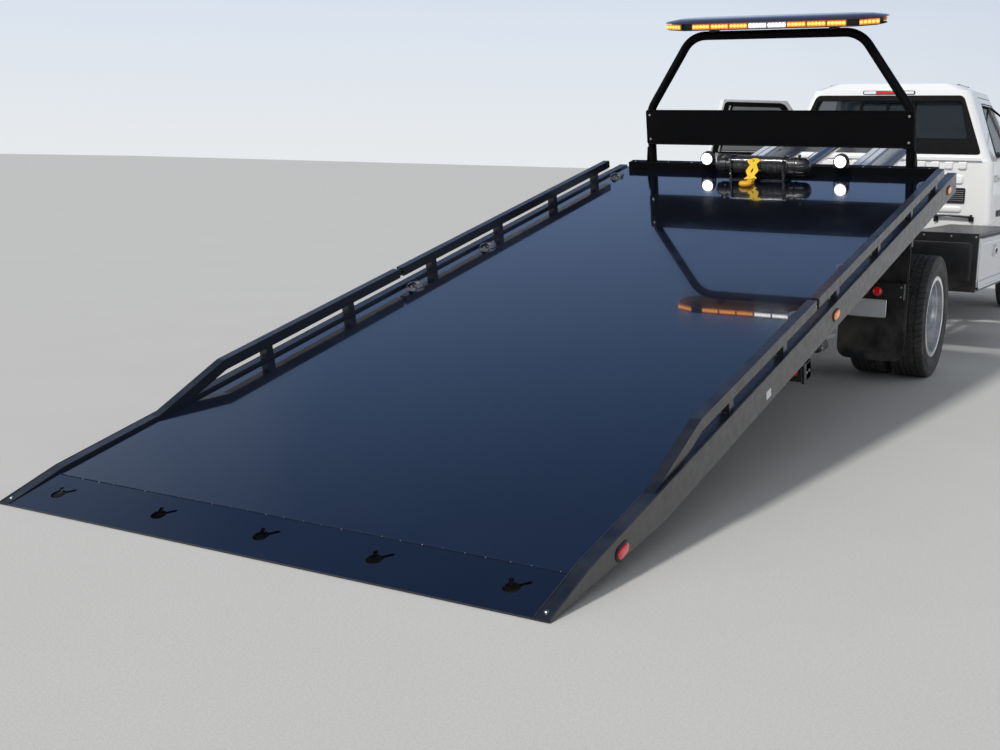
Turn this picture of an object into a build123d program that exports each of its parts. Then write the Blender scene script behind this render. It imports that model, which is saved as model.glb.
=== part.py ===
from build123d import *
from math import atan2, cos, degrees, hypot, radians, sin
import os

# Flatbed tow truck, in millimetres. +X points forward, +Y to the driver's left, +Z up.
# The origin is on the ground, under the middle of the bed's tail edge.
# The bed is slid back and tilted with its tail on the ground, and the left door is open.

os.makedirs("parts", exist_ok=True)

# Clearances
door_gap = 6
slide_gap = 0.3
pin_gap = 0.5
bearing_gap = 0.5

# Bed, in its own directions: s along the deck from the tail, y across, h square to the deck
tilt_angle = 12.8
deck_length = 5940
deck_width = 2440
deck_plate = 8
approach_length = 256
approach_drop = 17
channel_width = 58
channel_rise = 12
channel_depth = 115
channel_wall = 8
channel_taper = 900
channel_front_taper = 300
tail_rise = (approach_drop + deck_plate) * cos(radians(tilt_angle))

# Subframe under the bed, and the pin that it tilts on
cross_depth = 70
runner_y = 540
runner_width = 60
runner_depth = 120
hold_down_width = 55
hold_down_plate = 8
pad_thickness = 12
rail_y = 430
flange_width = 140
flange_plate = 12
web_plate = 10
subframe_depth = 160
subframe_overhang = 635
subframe_length = 3750
bed_travel = 2740
pivot_drop = 60
pivot_height = 760
pin_radius = 25

# Chassis
frame_half = 432
frame_wall = 8
frame_flange = 70
frame_top = 800
frame_depth = 220
frame_tail_gap = 140
bumper_gap = 20
rear_axle_x = 5620
cab_behind = 3180
axle_ahead = 350

# Wheels
tyre_radius = 405
tyre_width = 225
tyre_shoulder = 28
rim_radius = 250
rim_flange = 266
rim_flange_width = 10
rim_half = 100
rim_wall = 9
dual_spacing = 264
rear_outer_y = 1081
front_wheel_y = 900
kingpin_y = 760
spindle_radius = 30
hand_holes = 10
hand_hole_radius = 22
hand_hole_circle = 165

# Cab and nose
cab_length = 1700
cab_half = 975
floor_bottom = frame_top + 15
floor_plate = 45
lower_wall = 80
upper_wall = 50
belt = 1440
roof = 2120
glass_inset = 20
glass_plate = 6
door_rear_gap = 250
door_front_gap = 220
door_sill = 640
door_top_gap = 120
door_slope_reach = 490
hinge_pin = 5
hinge_barrel = 8
hinge_zs = (780, 1290)
hinge_half = 20
hinge_lug = 12
hood_hinge_y = 620
hood_pin = 4
hood_barrel = 7
door_slant = 0.30
door_open_angle = 55
arch_radius = 500
nose_bottom = 600
nose_length = 1140
nose_wall = 50

# Places along the truck worked out from the sizes above
cab_rear = rear_axle_x + cab_behind
cab_front = cab_rear + cab_length
nose_front = cab_front + nose_length
frame_nose = nose_front + bumper_gap
front_axle_x = cab_front + axle_ahead
door_rear = cab_rear + door_rear_gap
door_front = cab_front - door_front_gap
door_top = roof - door_top_gap
hinge_x = door_front + door_gap / 2
hinge_y = cab_half + 12
hood_hinge_x = cab_front + door_gap / 2
hood_hinge_z = belt + 8

# Tilting geometry worked out from the sizes above
slope = radians(tilt_angle)
along = (cos(slope), 0, sin(slope))
upward = (-sin(slope), 0, cos(slope))
bed_plane = Plane(origin=(0, 0, tail_rise), x_dir=along, z_dir=upward)
cross_bottom = -(deck_plate + cross_depth)
flange_top = cross_bottom - pad_thickness
subframe_bottom = flange_top - subframe_depth
pivot_h = subframe_bottom - pivot_drop
pivot_s = (pivot_height - tail_rise - pivot_h * cos(slope)) / sin(slope)
subframe_tail = pivot_s - subframe_overhang
subframe_front = subframe_tail + subframe_length


def bed_point(s, y, h):
    """World point of a place on the tilted bed."""
    return (
        s * cos(slope) - h * sin(slope),
        y,
        tail_rise + s * sin(slope) + h * cos(slope),
    )


def bed_side(y):
    """Side view plane of the bed: x is s, y is h, facing -Y."""
    return Plane(origin=bed_point(0, y, 0), x_dir=along, z_dir=(0, -1, 0))


def bed_across(s):
    """Cross-section plane of the bed: x is the width, y is h, facing forward."""
    return Plane(origin=bed_point(s, 0, 0), x_dir=(0, 1, 0), z_dir=along)


def save(node, name):
    """Label a finished piece and write its STEP file."""
    node.part.label = name
    export_step(node.part, f"parts/{name}.step")


pivot_x = bed_point(pivot_s, 0, pivot_h)[0]
frame_tail = pivot_x + frame_tail_gap
deck_inner = deck_width / 2 - channel_width

# Deck plate with its approach plate and the chain keyholes
keyhole_s = 126
keyhole_radius = 30
keyhole_slots = ((-46, 72), (28, 56))
keyhole_slot_width = 16
keyhole_mid_y = 490
keyhole_edge = 142
keyhole_far_y = deck_inner - keyhole_edge
keyhole_ys = (-keyhole_far_y, -keyhole_mid_y, 0, keyhole_mid_y, keyhole_far_y)

with BuildPart() as deck:
    with BuildSketch(bed_side(0)):
        with BuildLine():
            Polyline(
                (0, -approach_drop),
                (approach_length, 0),
                (deck_length, 0),
                (deck_length, -deck_plate),
                (approach_length, -deck_plate),
                (0, -approach_drop - deck_plate),
                close=True,
            )
        make_face()
    extrude(amount=deck_inner, both=True)
    with BuildSketch(bed_plane) as keyholes:
        with Locations(*[(keyhole_s, y) for y in keyhole_ys]):
            Circle(keyhole_radius)
        for slot_angle, slot_reach in keyhole_slots:
            with Locations(*[Location((keyhole_s, y, 0), (0, 0, slot_angle)) for y in keyhole_ys]):
                with Locations((slot_reach / 2, 0)):
                    SlotOverall(slot_reach, keyhole_slot_width)
    extrude(amount=2 * approach_drop + 4 * deck_plate, both=True, mode=Mode.SUBTRACT)
save(deck, "deck")

# Side channels, open inwards below the deck
with BuildPart() as side_channels:
    for side in (-1, 1):
        outer = side * deck_width / 2
        with BuildSketch(bed_side(outer)):
            with BuildLine():
                Polyline(
                    (0, -approach_drop),
                    (channel_front_taper, channel_rise),
                    (deck_length, channel_rise),
                    (deck_length, -channel_depth),
                    (channel_taper, -channel_depth),
                    (0, -approach_drop - deck_plate),
                    close=True,
                )
            make_face()
        extrude(amount=side * channel_width)
        with BuildSketch(bed_side(outer - side * channel_wall)):
            with BuildLine():
                Polyline(
                    (channel_front_taper, -2 * channel_wall - approach_drop),
                    (channel_front_taper + 100, channel_rise - channel_wall - deck_plate),
                    (deck_length - channel_wall, channel_rise - channel_wall - deck_plate),
                    (deck_length - channel_wall, channel_wall - channel_depth),
                    (channel_taper, channel_wall - channel_depth),
                    close=True,
                )
            make_face()
        extrude(amount=side * channel_width, mode=Mode.SUBTRACT)
save(side_channels, "side_channels")

# Runners, crossmembers, hold-down lips and the lug of the slide cylinder, under the deck
barrel_inset = 20
barrel_spare = 110
lug_half = 32
rod_lug_gap = lug_half + 12
barrel_front = subframe_front - barrel_inset
barrel_length = bed_travel + barrel_spare
barrel_tail = barrel_front - barrel_length
rod_lug_s = barrel_tail - bed_travel - rod_lug_gap
cross_width = 50
cross_pitch = 462.5
cross_before_lug = 4
cross_first = rod_lug_s - cross_before_lug * cross_pitch
cross_last = deck_length - 60
cross_count = int((cross_last - cross_first - cross_width) / cross_pitch) + 1
cross_stations = [cross_first + step * cross_pitch for step in range(cross_count)] + [cross_last]
runner_tail = cross_first - cross_width / 2
ram_h = -130
ram_radius = 40
ram_rod_radius = 24
lug_plate = 12

with BuildPart(bed_plane) as bed_frame:
    for s in cross_stations:
        with Locations((s, 0, -deck_plate - cross_depth / 2)):
            Box(cross_width, 2 * (deck_inner - 1), cross_depth)
    for side in (-1, 1):
        with BuildSketch(bed_side(side * (runner_y + runner_width / 2))):
            with BuildLine():
                Polyline(
                    (runner_tail, -deck_plate),
                    (deck_length, -deck_plate),
                    (deck_length, -deck_plate - runner_depth),
                    (channel_taper, -deck_plate - runner_depth),
                    (runner_tail, cross_bottom),
                    close=True,
                )
            make_face()
        extrude(amount=side * runner_width)
        lip_y = side * (runner_y - runner_width / 2 - hold_down_width / 2)
        lip_h = hold_down_plate / 2 - deck_plate - runner_depth
        with Locations(((channel_taper + deck_length) / 2, lip_y, lip_h)):
            Box(deck_length - channel_taper, hold_down_width, hold_down_plate)
        lug_height = abs(ram_h) + lug_half + cross_bottom
        with Locations((rod_lug_s, side * (lug_half + lug_plate / 2), cross_bottom - lug_height / 2)):
            Box(2 * lug_half, lug_plate, lug_height)
save(bed_frame, "bed_frame")

# Guard rails on the side channels, in two lengths a side
guard_width = 45
guard_y = deck_width / 2 - 15 - guard_width / 2
guard_top = 110
guard_tube = 50
foot_s = 850
kink_s = 1320
guard_split = 2840
guard_split_gap = 36
guard_end = deck_length - 317
post_length = 50
rear_posts = (kink_s + 325, guard_split - 500)
front_posts = [guard_split + share * (guard_end - guard_split) for share in (0.122, 0.41, 0.683, 0.92)]
post_stations = (*rear_posts, *front_posts)
foot_slope = atan2(guard_top - channel_rise, kink_s - foot_s)
foot_inner = foot_s + guard_tube / sin(foot_slope)
kink_inner = foot_inner + (guard_top - guard_tube - channel_rise) / sin(foot_slope) * cos(foot_slope)

with BuildPart() as guard_rails:
    for side in (-1, 1):
        with BuildSketch(bed_side(side * guard_y)):
            with BuildLine():
                Polyline(
                    (foot_s, channel_rise),
                    (kink_s, guard_top),
                    (guard_split - guard_split_gap / 2, guard_top),
                    (guard_split - guard_split_gap / 2, guard_top - guard_tube),
                    (kink_inner, guard_top - guard_tube),
                    (foot_inner, channel_rise),
                    close=True,
                )
            make_face()
            front_length = guard_end - guard_split - guard_split_gap / 2
            with Locations((guard_end - front_length / 2, guard_top - guard_tube / 2)):
                Rectangle(front_length, guard_tube)
            with Locations(*[(s, (guard_top - guard_tube + channel_rise) / 2) for s in post_stations]):
                Rectangle(post_length, guard_top - guard_tube - channel_rise)
        extrude(amount=guard_width / 2, both=True)
save(guard_rails, "guard_rails")

# Headboard: base bar, bent tube hoop and flat sign panel
headboard_s = deck_length - 50
hoop_radius = 30
base_bar_half = deck_inner - 52
base_bar_height = 50
base_bar_depth = 80
hoop_half = base_bar_half - 180
hoop_shoulder = 430
hoop_top = 950
hoop_top_half = hoop_half - 340
hoop_bend = 190
sign_low = 190
sign_high = 435
sign_half = hoop_half + 20
sign_plate = 10
sign_bite = 4

with BuildPart() as headboard:
    with BuildLine(bed_across(headboard_s)) as hoop_line:
        FilletPolyline(
            (-hoop_half, 0),
            (-hoop_half, hoop_shoulder),
            (-hoop_top_half, hoop_top),
            (hoop_top_half, hoop_top),
            (hoop_half, hoop_shoulder),
            (hoop_half, 0),
            radius=hoop_bend,
        )
    with BuildSketch(Plane(origin=bed_point(headboard_s, -hoop_half, 0), x_dir=along, z_dir=upward)):
        Circle(hoop_radius)
    sweep(path=hoop_line.line)
    with BuildSketch(bed_across(headboard_s - hoop_radius + sign_bite)):
        with Locations((0, (sign_low + sign_high) / 2)):
            RectangleRounded(2 * sign_half, sign_high - sign_low, 15)
    extrude(amount=-sign_plate)
    with BuildSketch(bed_across(headboard_s)):
        with Locations((0, base_bar_height / 2)):
            Rectangle(2 * base_bar_half, base_bar_height)
    extrude(amount=base_bar_depth / 2, both=True)
    with BuildSketch(bed_across(headboard_s)):
        for side in (-1, 1):
            with Locations((side * hoop_half, (sign_low + sign_high) / 2)):
                Rectangle(2 * hoop_radius - 10, sign_high - sign_low - 40)
    extrude(amount=-hoop_radius)
save(headboard, "headboard")

# Light bar on two feet above the hoop
bar_half = 780
bar_height = 70
bar_depth = 300
bar_foot = 22
bar_foot_y = 420
bar_low = hoop_top + hoop_radius + bar_foot

with BuildPart() as light_bar:
    with BuildSketch(bed_side(0)):
        with Locations((headboard_s, bar_low + bar_height / 2)):
            Trapezoid(bar_depth, bar_height, 62)
    extrude(amount=bar_half, both=True)
    for side in (-1, 1):
        with BuildSketch(bed_side(side * bar_foot_y)):
            with Locations((headboard_s, bar_low - bar_foot / 2 - hoop_radius / 2)):
                Rectangle(60, bar_foot + hoop_radius)
        extrude(amount=25, both=True)
    with BuildSketch(bed_across(headboard_s)):
        with Locations((0, hoop_top)):
            Rectangle(3 * bar_foot_y, 2 * hoop_radius)
    extrude(amount=hoop_radius, both=True, mode=Mode.SUBTRACT)
save(light_bar, "light_bar")

# Winch on a foot plate behind the sign: drum between flanges, motor left, gearbox right
winch_s = headboard_s - 190
winch_h = 84
winch_right = -133
winch_left = 229
winch_flange = 12
winch_flange_radius = 74
winch_drum_radius = 42
winch_motor_radius = 52
winch_motor_length = 120
winch_gear_radius = 60
winch_gear_length = 165
winch_foot = 8
winch_foot_depth = 190
tie_bar = 12
tie_offset = 62

with BuildPart() as winch:
    for y, radius, length in (
        (winch_right, winch_drum_radius, winch_left - winch_right),
        (winch_right - winch_flange, winch_flange_radius, winch_flange),
        (winch_left, winch_flange_radius, winch_flange),
        (winch_left + winch_flange, winch_motor_radius, winch_motor_length),
        (winch_right - winch_flange - winch_gear_length, winch_gear_radius, winch_gear_length),
    ):
        with BuildSketch(bed_side(y)):
            with Locations((winch_s, winch_h)):
                Circle(radius)
        extrude(amount=-length)
    for y in (winch_right - winch_flange, winch_left):
        with BuildSketch(bed_side(y)):
            with Locations((winch_s, winch_h / 2)):
                Rectangle(winch_foot_depth * 0.8, winch_h)
        extrude(amount=-winch_flange)
    with BuildSketch(bed_side(winch_right - winch_flange)):
        with Locations((winch_s, winch_foot / 2)):
            Rectangle(winch_foot_depth, winch_foot)
        with Locations((winch_s - tie_offset, winch_h + 50), (winch_s + tie_offset, winch_h + 50)):
            Rectangle(tie_bar, tie_bar)
        with Locations((winch_s + tie_offset, winch_h - 50)):
            Rectangle(tie_bar, tie_bar)
    extrude(amount=-(winch_left - winch_right + 2 * winch_flange))
    for y in (winch_right - winch_flange, winch_left):
        with BuildSketch(bed_side(y)):
            with Locations((winch_s, winch_h)):
                Rectangle(2 * tie_offset + tie_bar, 100 + tie_bar)
        extrude(amount=-winch_flange)
save(winch, "winch")

# Hook on a short end of cable, lying on the deck in front of the winch
hook_s = winch_s - 230
hook_y = 60
hook_bar = 12
hook_bend = 34
cable_radius = 5

with BuildPart() as winch_hook:
    with BuildSketch(bed_plane.offset(slide_gap)):
        with Locations((hook_s, hook_y)):
            Circle(hook_bend + hook_bar)
            Circle(hook_bend - hook_bar, mode=Mode.SUBTRACT)
        with Locations((hook_s + hook_bend - 2, hook_y - hook_bend - 4)):
            Rectangle(38, 40, mode=Mode.SUBTRACT)
        with Locations((hook_s + hook_bend + 36, hook_y)):
            Rectangle(60, 2 * hook_bar)
    extrude(amount=2 * hook_bar)
    with BuildLine() as cable_line:
        Polyline(
            bed_point(hook_s + hook_bend + 60, hook_y, hook_bar + slide_gap),
            bed_point(winch_s - 0.6 * winch_drum_radius, hook_y, winch_h - winch_drum_radius - cable_radius),
        )
    with BuildSketch(Plane(cable_line.line @ 0, z_dir=cable_line.line % 0)):
        Circle(cable_radius)
    sweep(path=cable_line.line)
save(winch_hook, "winch_hook")

# Lamps on the bed: two work lamps on the base bar and the markers on the sides
work_lamp_y = 480
work_lamp_radius = 45
work_lamp_h = base_bar_height + work_lamp_radius
work_lamp_depth = 50
marker_stations = (530, guard_split + 247, deck_length - 245)
marker_h = -45
marker_length = 95
marker_height = 44
marker_depth = 12

with BuildPart() as bed_lamps:
    with BuildSketch(bed_across(headboard_s - hoop_radius)):
        with Locations((work_lamp_y, work_lamp_h), (-work_lamp_y, work_lamp_h)):
            Circle(work_lamp_radius)
    extrude(amount=-work_lamp_depth)
    with BuildSketch(bed_across(headboard_s - hoop_radius)):
        with Locations((work_lamp_y, work_lamp_h), (-work_lamp_y, work_lamp_h)):
            Rectangle(24, 2 * work_lamp_radius)
    extrude(amount=24)
    for side in (-1, 1):
        with BuildSketch(bed_side(side * deck_width / 2)):
            with Locations(*[(s, marker_h) for s in marker_stations]):
                SlotOverall(marker_length, marker_height)
        extrude(amount=-side * marker_depth)
save(bed_lamps, "bed_lamps")

# Tie-down rings at the deck's edges
ring_stations = (guard_split + 30, guard_split + 850, deck_length - 340)
ring_y = deck_inner - 67
ring_radius = 38
ring_bar = 8
ring_base = 60

with BuildPart() as tie_rings:
    for s in ring_stations:
        for side in (-1, 1):
            with BuildSketch(bed_plane):
                with Locations((s, side * ring_y)):
                    RectangleRounded(2 * ring_base, ring_base, 8)
            extrude(amount=10)
            with BuildSketch(bed_plane.offset(10 - ring_bar)):
                with Locations((s, side * ring_y)):
                    Circle(ring_radius + ring_bar)
                    Circle(ring_radius - ring_bar, mode=Mode.SUBTRACT)
            extrude(amount=2 * ring_bar)
save(tie_rings, "tie_rings")

# Slide cylinder: its barrel lies in the subframe, and its rod pulls and pushes the bed
barrel_bore = ram_rod_radius + 4
barrel_cap = 20
rod_grip = 60
rod_eye = 30

with BuildPart() as slide_barrel:
    with BuildSketch(bed_across(barrel_tail)):
        with Locations((0, ram_h)):
            Circle(ram_radius)
    extrude(amount=barrel_length)
    with BuildSketch(bed_across(barrel_tail)):
        with Locations((0, ram_h)):
            Circle(barrel_bore)
    extrude(amount=barrel_length - barrel_cap, mode=Mode.SUBTRACT)
save(slide_barrel, "slide_barrel")

with BuildPart() as slide_rod:
    with BuildSketch(bed_across(rod_lug_s)):
        with Locations((0, ram_h)):
            Circle(ram_rod_radius)
    extrude(amount=barrel_tail + rod_grip - rod_lug_s)
    with BuildSketch(bed_side(-lug_half)):
        with Locations((rod_lug_s, ram_h)):
            Circle(rod_eye)
    extrude(amount=-2 * lug_half)
save(slide_rod, "slide_rod")

# Subframe: two beams with slide pads, crossmembers, pivot ears and tilt cylinder lugs
sub_cross_width = 80
sub_cross_height = 60
sub_cross_top = subframe_bottom + flange_plate + sub_cross_height
tilt_reach = 2000
tilt_rise = 20
tilt_y = 290
tilt_eye = 34
tilt_lug_gap = 6
tilt_lug_plate = 12
tilt_eye_half = 22
tilt_lug_s = pivot_s + tilt_reach
tilt_lug_h = pivot_h + tilt_rise
sub_cross_stations = (subframe_tail + 60, subframe_tail + 1250, tilt_lug_s, subframe_front - 60)
ear_y = 395
ear_half = 25
ear_radius = 55

with BuildPart() as subframe:
    for side in (-1, 1):
        with BuildSketch(bed_across(subframe_tail)):
            with Locations((side * rail_y, flange_top - flange_plate / 2)):
                Rectangle(flange_width, flange_plate)
            with Locations((side * rail_y, subframe_bottom + flange_plate / 2)):
                Rectangle(flange_width, flange_plate)
            with Locations((side * rail_y, flange_top - subframe_depth / 2)):
                Rectangle(web_plate, subframe_depth)
            with Locations((side * rail_y, flange_top + (pad_thickness - slide_gap) / 2)):
                Rectangle(flange_width - 40, pad_thickness - slide_gap)
        extrude(amount=subframe_front - subframe_tail)
        with BuildSketch(bed_side(side * ear_y)):
            with BuildLine():
                Polyline(
                    (pivot_s - 2 * ear_radius, subframe_bottom),
                    (pivot_s - ear_radius, pivot_h),
                    (pivot_s + ear_radius, pivot_h),
                    (pivot_s + 2 * ear_radius, subframe_bottom),
                    close=True,
                )
            make_face()
            with Locations((pivot_s, pivot_h)):
                Circle(ear_radius)
        extrude(amount=ear_half, both=True)
        with BuildSketch(bed_side(side * ear_y)):
            with Locations((pivot_s, pivot_h)):
                Circle(pin_radius + pin_gap)
        extrude(amount=2 * ear_half, both=True, mode=Mode.SUBTRACT)
        for edge in (-1, 1):
            lug_y = side * tilt_y + edge * (tilt_eye_half + tilt_lug_gap + tilt_lug_plate / 2)
            with BuildSketch(bed_side(lug_y)):
                with Locations((tilt_lug_s, (tilt_lug_h + subframe_bottom) / 2)):
                    Rectangle(2 * tilt_eye, subframe_bottom - tilt_lug_h)
                with Locations((tilt_lug_s, tilt_lug_h)):
                    Circle(tilt_eye)
            extrude(amount=tilt_lug_plate / 2, both=True)
    for s in sub_cross_stations:
        with BuildSketch(bed_across(s)):
            with Locations((0, (subframe_bottom + sub_cross_top) / 2)):
                Rectangle(2 * rail_y, sub_cross_top - subframe_bottom)
        extrude(amount=sub_cross_width / 2, both=True)
    for s in (barrel_tail + 60, barrel_front - 60):
        with BuildSketch(bed_across(s)):
            with Locations((0, ram_h - ram_radius / 2)):
                Rectangle(2 * rail_y, 30)
            with Locations((0, ram_h)):
                Circle(ram_radius + 6)
                Circle(ram_radius, mode=Mode.SUBTRACT)
        extrude(amount=15, both=True)
save(subframe, "subframe")

# Tilt cylinders: barrels pinned to the chassis, rods that push the subframe up
tilt_base_reach = 1300
tilt_base_drop = 330
tilt_base_x = pivot_x + tilt_base_reach
tilt_base_z = pivot_height - tilt_base_drop
tilt_top = bed_point(tilt_lug_s, 0, tilt_lug_h)
tilt_length = hypot(tilt_top[0] - tilt_base_x, tilt_top[2] - tilt_base_z)
tilt_direction = atan2(tilt_top[2] - tilt_base_z, tilt_top[0] - tilt_base_x)
tilt_stroke = 240
tilt_barrel_radius = 42
tilt_rod_radius = tilt_eye_half - 3
tilt_barrel_end = tilt_length - tilt_stroke - 70
tilt_rod_start = tilt_barrel_end - 80
tilt_axis = (cos(tilt_direction), 0, sin(tilt_direction))


def tilt_across(distance, side):
    """Cross-section plane of a tilt cylinder, at a distance from its base pin."""
    x = tilt_base_x + distance * tilt_axis[0]
    z = tilt_base_z + distance * tilt_axis[2]
    return Plane(origin=(x, side * tilt_y, z), x_dir=(0, 1, 0), z_dir=tilt_axis)


def side_view(y):
    """Upright side view plane: x is forward, y is up, facing -Y."""
    return Plane.XZ.offset(-y)


tilt_neck = 125

with BuildPart() as tilt_barrels:
    for side in (-1, 1):
        with BuildSketch(tilt_across(tilt_eye, side)):
            Circle(tilt_eye_half - 2)
        extrude(amount=tilt_neck - tilt_eye + 5)
        with BuildSketch(tilt_across(tilt_neck, side)):
            Circle(tilt_barrel_radius)
        extrude(amount=tilt_barrel_end - tilt_neck)
        with BuildSketch(tilt_across(tilt_neck + 40, side)):
            Circle(tilt_rod_radius + slide_gap)
        extrude(amount=tilt_barrel_end - tilt_neck, mode=Mode.SUBTRACT)
        with BuildSketch(side_view(side * tilt_y)):
            with Locations((tilt_base_x, tilt_base_z)):
                Circle(tilt_eye + 12)
        extrude(amount=tilt_eye_half, both=True)
        with BuildSketch(side_view(side * tilt_y)):
            with Locations((tilt_base_x, tilt_base_z)):
                Circle(pin_radius + pin_gap)
        extrude(amount=2 * tilt_barrel_radius, both=True, mode=Mode.SUBTRACT)
save(tilt_barrels, "tilt_barrels")

with BuildPart() as tilt_rods:
    for side in (-1, 1):
        with BuildSketch(tilt_across(tilt_rod_start, side)):
            Circle(tilt_rod_radius)
        extrude(amount=tilt_length - tilt_rod_start)
        with BuildSketch(side_view(side * tilt_y)):
            with Locations((tilt_top[0], tilt_top[2])):
                Circle(tilt_eye)
        extrude(amount=tilt_eye_half, both=True)
save(tilt_rods, "tilt_rods")


# Chassis frame: two channels, crossmembers, pivot plates, cylinder brackets and hangers
cross_box = 80
cross_inset = 30
spring_y = frame_half + 108
spring_width = 76
rear_spring_reach = 660
front_spring_reach = 600
spring_pack = 45
spring_rise = 90
axle_tube = 60
beam_half = 45
axle_z = tyre_radius
hanger_length = 60
hanger_height = 100
rear_spring_top = axle_z + axle_tube + spring_pack + spring_rise
front_spring_top = frame_top - frame_depth
front_spring_y = frame_half - frame_flange / 2
pivot_plate = 20
tilt_bracket = 12
mount_pad = 70
mount_xs = (cab_rear + 190, cab_rear + 900, cab_front - 120)
lift_pin_x = pivot_x + 163
lift_pin_z = 500
lift_half = 60
lift_cheek = 16
box_near = 700
box_rear = rear_axle_x + 1330
box_front = cab_rear - 350
box_arm_xs = (box_rear + 200, box_front - 200)
box_arm = 60
cross_xs = (frame_tail + 100, tilt_base_x, box_rear, box_front - 150, cab_rear + 620, frame_nose - 160)
flap_x = rear_axle_x - 560
flap_near = 695
flap_far = 1120
flap_low = 160
flap_top = 930
flap_bar = 40
flap_plate = 8
flap_post_y = 610
flap_arm_z = frame_top - 35

with BuildPart() as chassis_frame:
    rail_mid = frame_top - frame_depth / 2
    for side in (-1, 1):
        with BuildSketch(Plane.YZ.offset(frame_tail)):
            with Locations((side * (frame_half - frame_flange / 2), rail_mid)):
                Rectangle(frame_flange, frame_depth)
            with Locations((side * (frame_half - frame_wall - frame_flange / 2), rail_mid)):
                Rectangle(frame_flange, frame_depth - 2 * frame_wall, mode=Mode.SUBTRACT)
        extrude(amount=frame_nose - frame_tail)
        for x in mount_xs:
            with Locations((x, side * (frame_half - mount_pad / 2), (frame_top + floor_bottom) / 2)):
                Box(mount_pad, mount_pad, floor_bottom - frame_top)
        for x in (rear_axle_x - rear_spring_reach, rear_axle_x + rear_spring_reach):
            hanger_width = spring_y + spring_width / 2 - frame_half
            hanger_y = side * (frame_half + hanger_width / 2)
            with Locations((x, hanger_y, rear_spring_top + hanger_height / 2)):
                Box(hanger_length, hanger_width, hanger_height)
        for x in box_arm_xs:
            with Locations((x, side * (frame_half + box_near) / 2, rail_mid)):
                Box(box_arm, box_near - frame_half, box_arm)
        with BuildSketch(side_view(side * (frame_half + pivot_plate / 2))):
            with BuildLine():
                Polyline(
                    (pivot_x, pivot_height - 40),
                    (pivot_x + 420, frame_top - 0.8 * frame_depth),
                    (pivot_x + 420, frame_top - 10),
                    (pivot_x, frame_top - 14),
                    close=True,
                )
            make_face()
            with Locations((pivot_x, pivot_height)):
                Circle(42)
        extrude(amount=pivot_plate / 2, both=True)
        with BuildSketch(side_view(side * (frame_half + pivot_plate))):
            with Locations((pivot_x, pivot_height)):
                Circle(pin_radius)
        extrude(amount=side * (frame_half + pivot_plate - ear_y + ear_half + 6))
        for edge in (-1, 1):
            plate_y = side * tilt_y + edge * (tilt_eye_half + tilt_lug_gap + tilt_bracket / 2)
            with BuildSketch(side_view(plate_y)):
                with Locations((tilt_base_x, (tilt_base_z + rail_mid) / 2)):
                    Rectangle(2 * tilt_eye, rail_mid - tilt_base_z)
                with Locations((tilt_base_x, tilt_base_z)):
                    Circle(tilt_eye)
            extrude(amount=tilt_bracket / 2, both=True)
        with BuildSketch(side_view(side * tilt_y)):
            with Locations((tilt_base_x, tilt_base_z)):
                Circle(pin_radius)
        extrude(amount=tilt_eye_half + tilt_lug_gap + tilt_bracket + 8, both=True)
        with BuildSketch(Plane.YZ.offset(flap_x)):
            with Locations((side * (frame_half + flap_post_y + flap_bar / 2) / 2, flap_arm_z)):
                Rectangle(flap_post_y + flap_bar / 2 - frame_half, flap_bar)
            with Locations((side * flap_post_y, (flap_arm_z - flap_bar / 2 + flap_top) / 2)):
                Rectangle(flap_bar, flap_top - flap_arm_z + flap_bar / 2)
            with Locations((side * (flap_post_y - flap_bar / 2 + flap_far) / 2, flap_top - flap_bar / 2)):
                Rectangle(flap_far - flap_post_y + flap_bar / 2, flap_bar)
        extrude(amount=flap_bar)
    for x in cross_xs:
        with Locations((x, 0, rail_mid)):
            Box(cross_box, 2 * (frame_half - frame_wall), frame_depth - 2 * cross_inset)
    for edge in (-1, 1):
        with BuildSketch(side_view(edge * (lift_half + 6 + lift_cheek / 2))):
            with BuildLine():
                Polyline(
                    (lift_pin_x - 45, lift_pin_z),
                    (lift_pin_x + 45, lift_pin_z),
                    (lift_pin_x + 100, rail_mid),
                    (lift_pin_x + 20, rail_mid),
                    close=True,
                )
            make_face()
            with Locations((lift_pin_x, lift_pin_z)):
                Circle(45)
        extrude(amount=lift_cheek / 2, both=True)
    with BuildSketch(side_view(0)):
        with Locations((lift_pin_x, lift_pin_z)):
            Circle(pin_radius)
    extrude(amount=lift_half + 6 + lift_cheek + 8, both=True)
save(chassis_frame, "chassis_frame")

# Wheel lift: a boom on the chassis tail, and a stinger with a crossbar that slides in it
lift_slope = atan2(240, 1080)
lift_along = (-cos(lift_slope), 0, -sin(lift_slope))
lift_wall = 12
lift_gap = slide_gap
boom_start = 50
boom_end = 900
stinger_start = 350
stinger_end = 1060
bar_depth_x = 120
bar_rise = 90
bar_half_y = 900
bar_lamp = 60


def lift_side(y):
    """Side view plane of the wheel lift: x runs back along the boom, y is up."""
    return Plane(origin=(lift_pin_x, y, lift_pin_z), x_dir=lift_along, z_dir=(0, 1, 0))


with BuildPart() as lift_boom:
    with BuildSketch(lift_side(0)):
        with Locations(((boom_start + boom_end) / 2, 0)):
            Rectangle(boom_end - boom_start, 2 * lift_half)
        Circle(lift_half - 12)
        with Locations((boom_start / 2, 0)):
            Rectangle(boom_start, 2 * lift_half - 40)
    extrude(amount=lift_half, both=True)
    with BuildSketch(lift_side(0)):
        with Locations(((stinger_start + boom_end) / 2, 0)):
            Rectangle(boom_end - stinger_start + 100, 2 * (lift_half - lift_wall))
    extrude(amount=lift_half - lift_wall, both=True, mode=Mode.SUBTRACT)
    with BuildSketch(lift_side(0)):
        Circle(pin_radius + pin_gap)
    extrude(amount=lift_half, both=True, mode=Mode.SUBTRACT)
save(lift_boom, "lift_boom")

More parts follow.
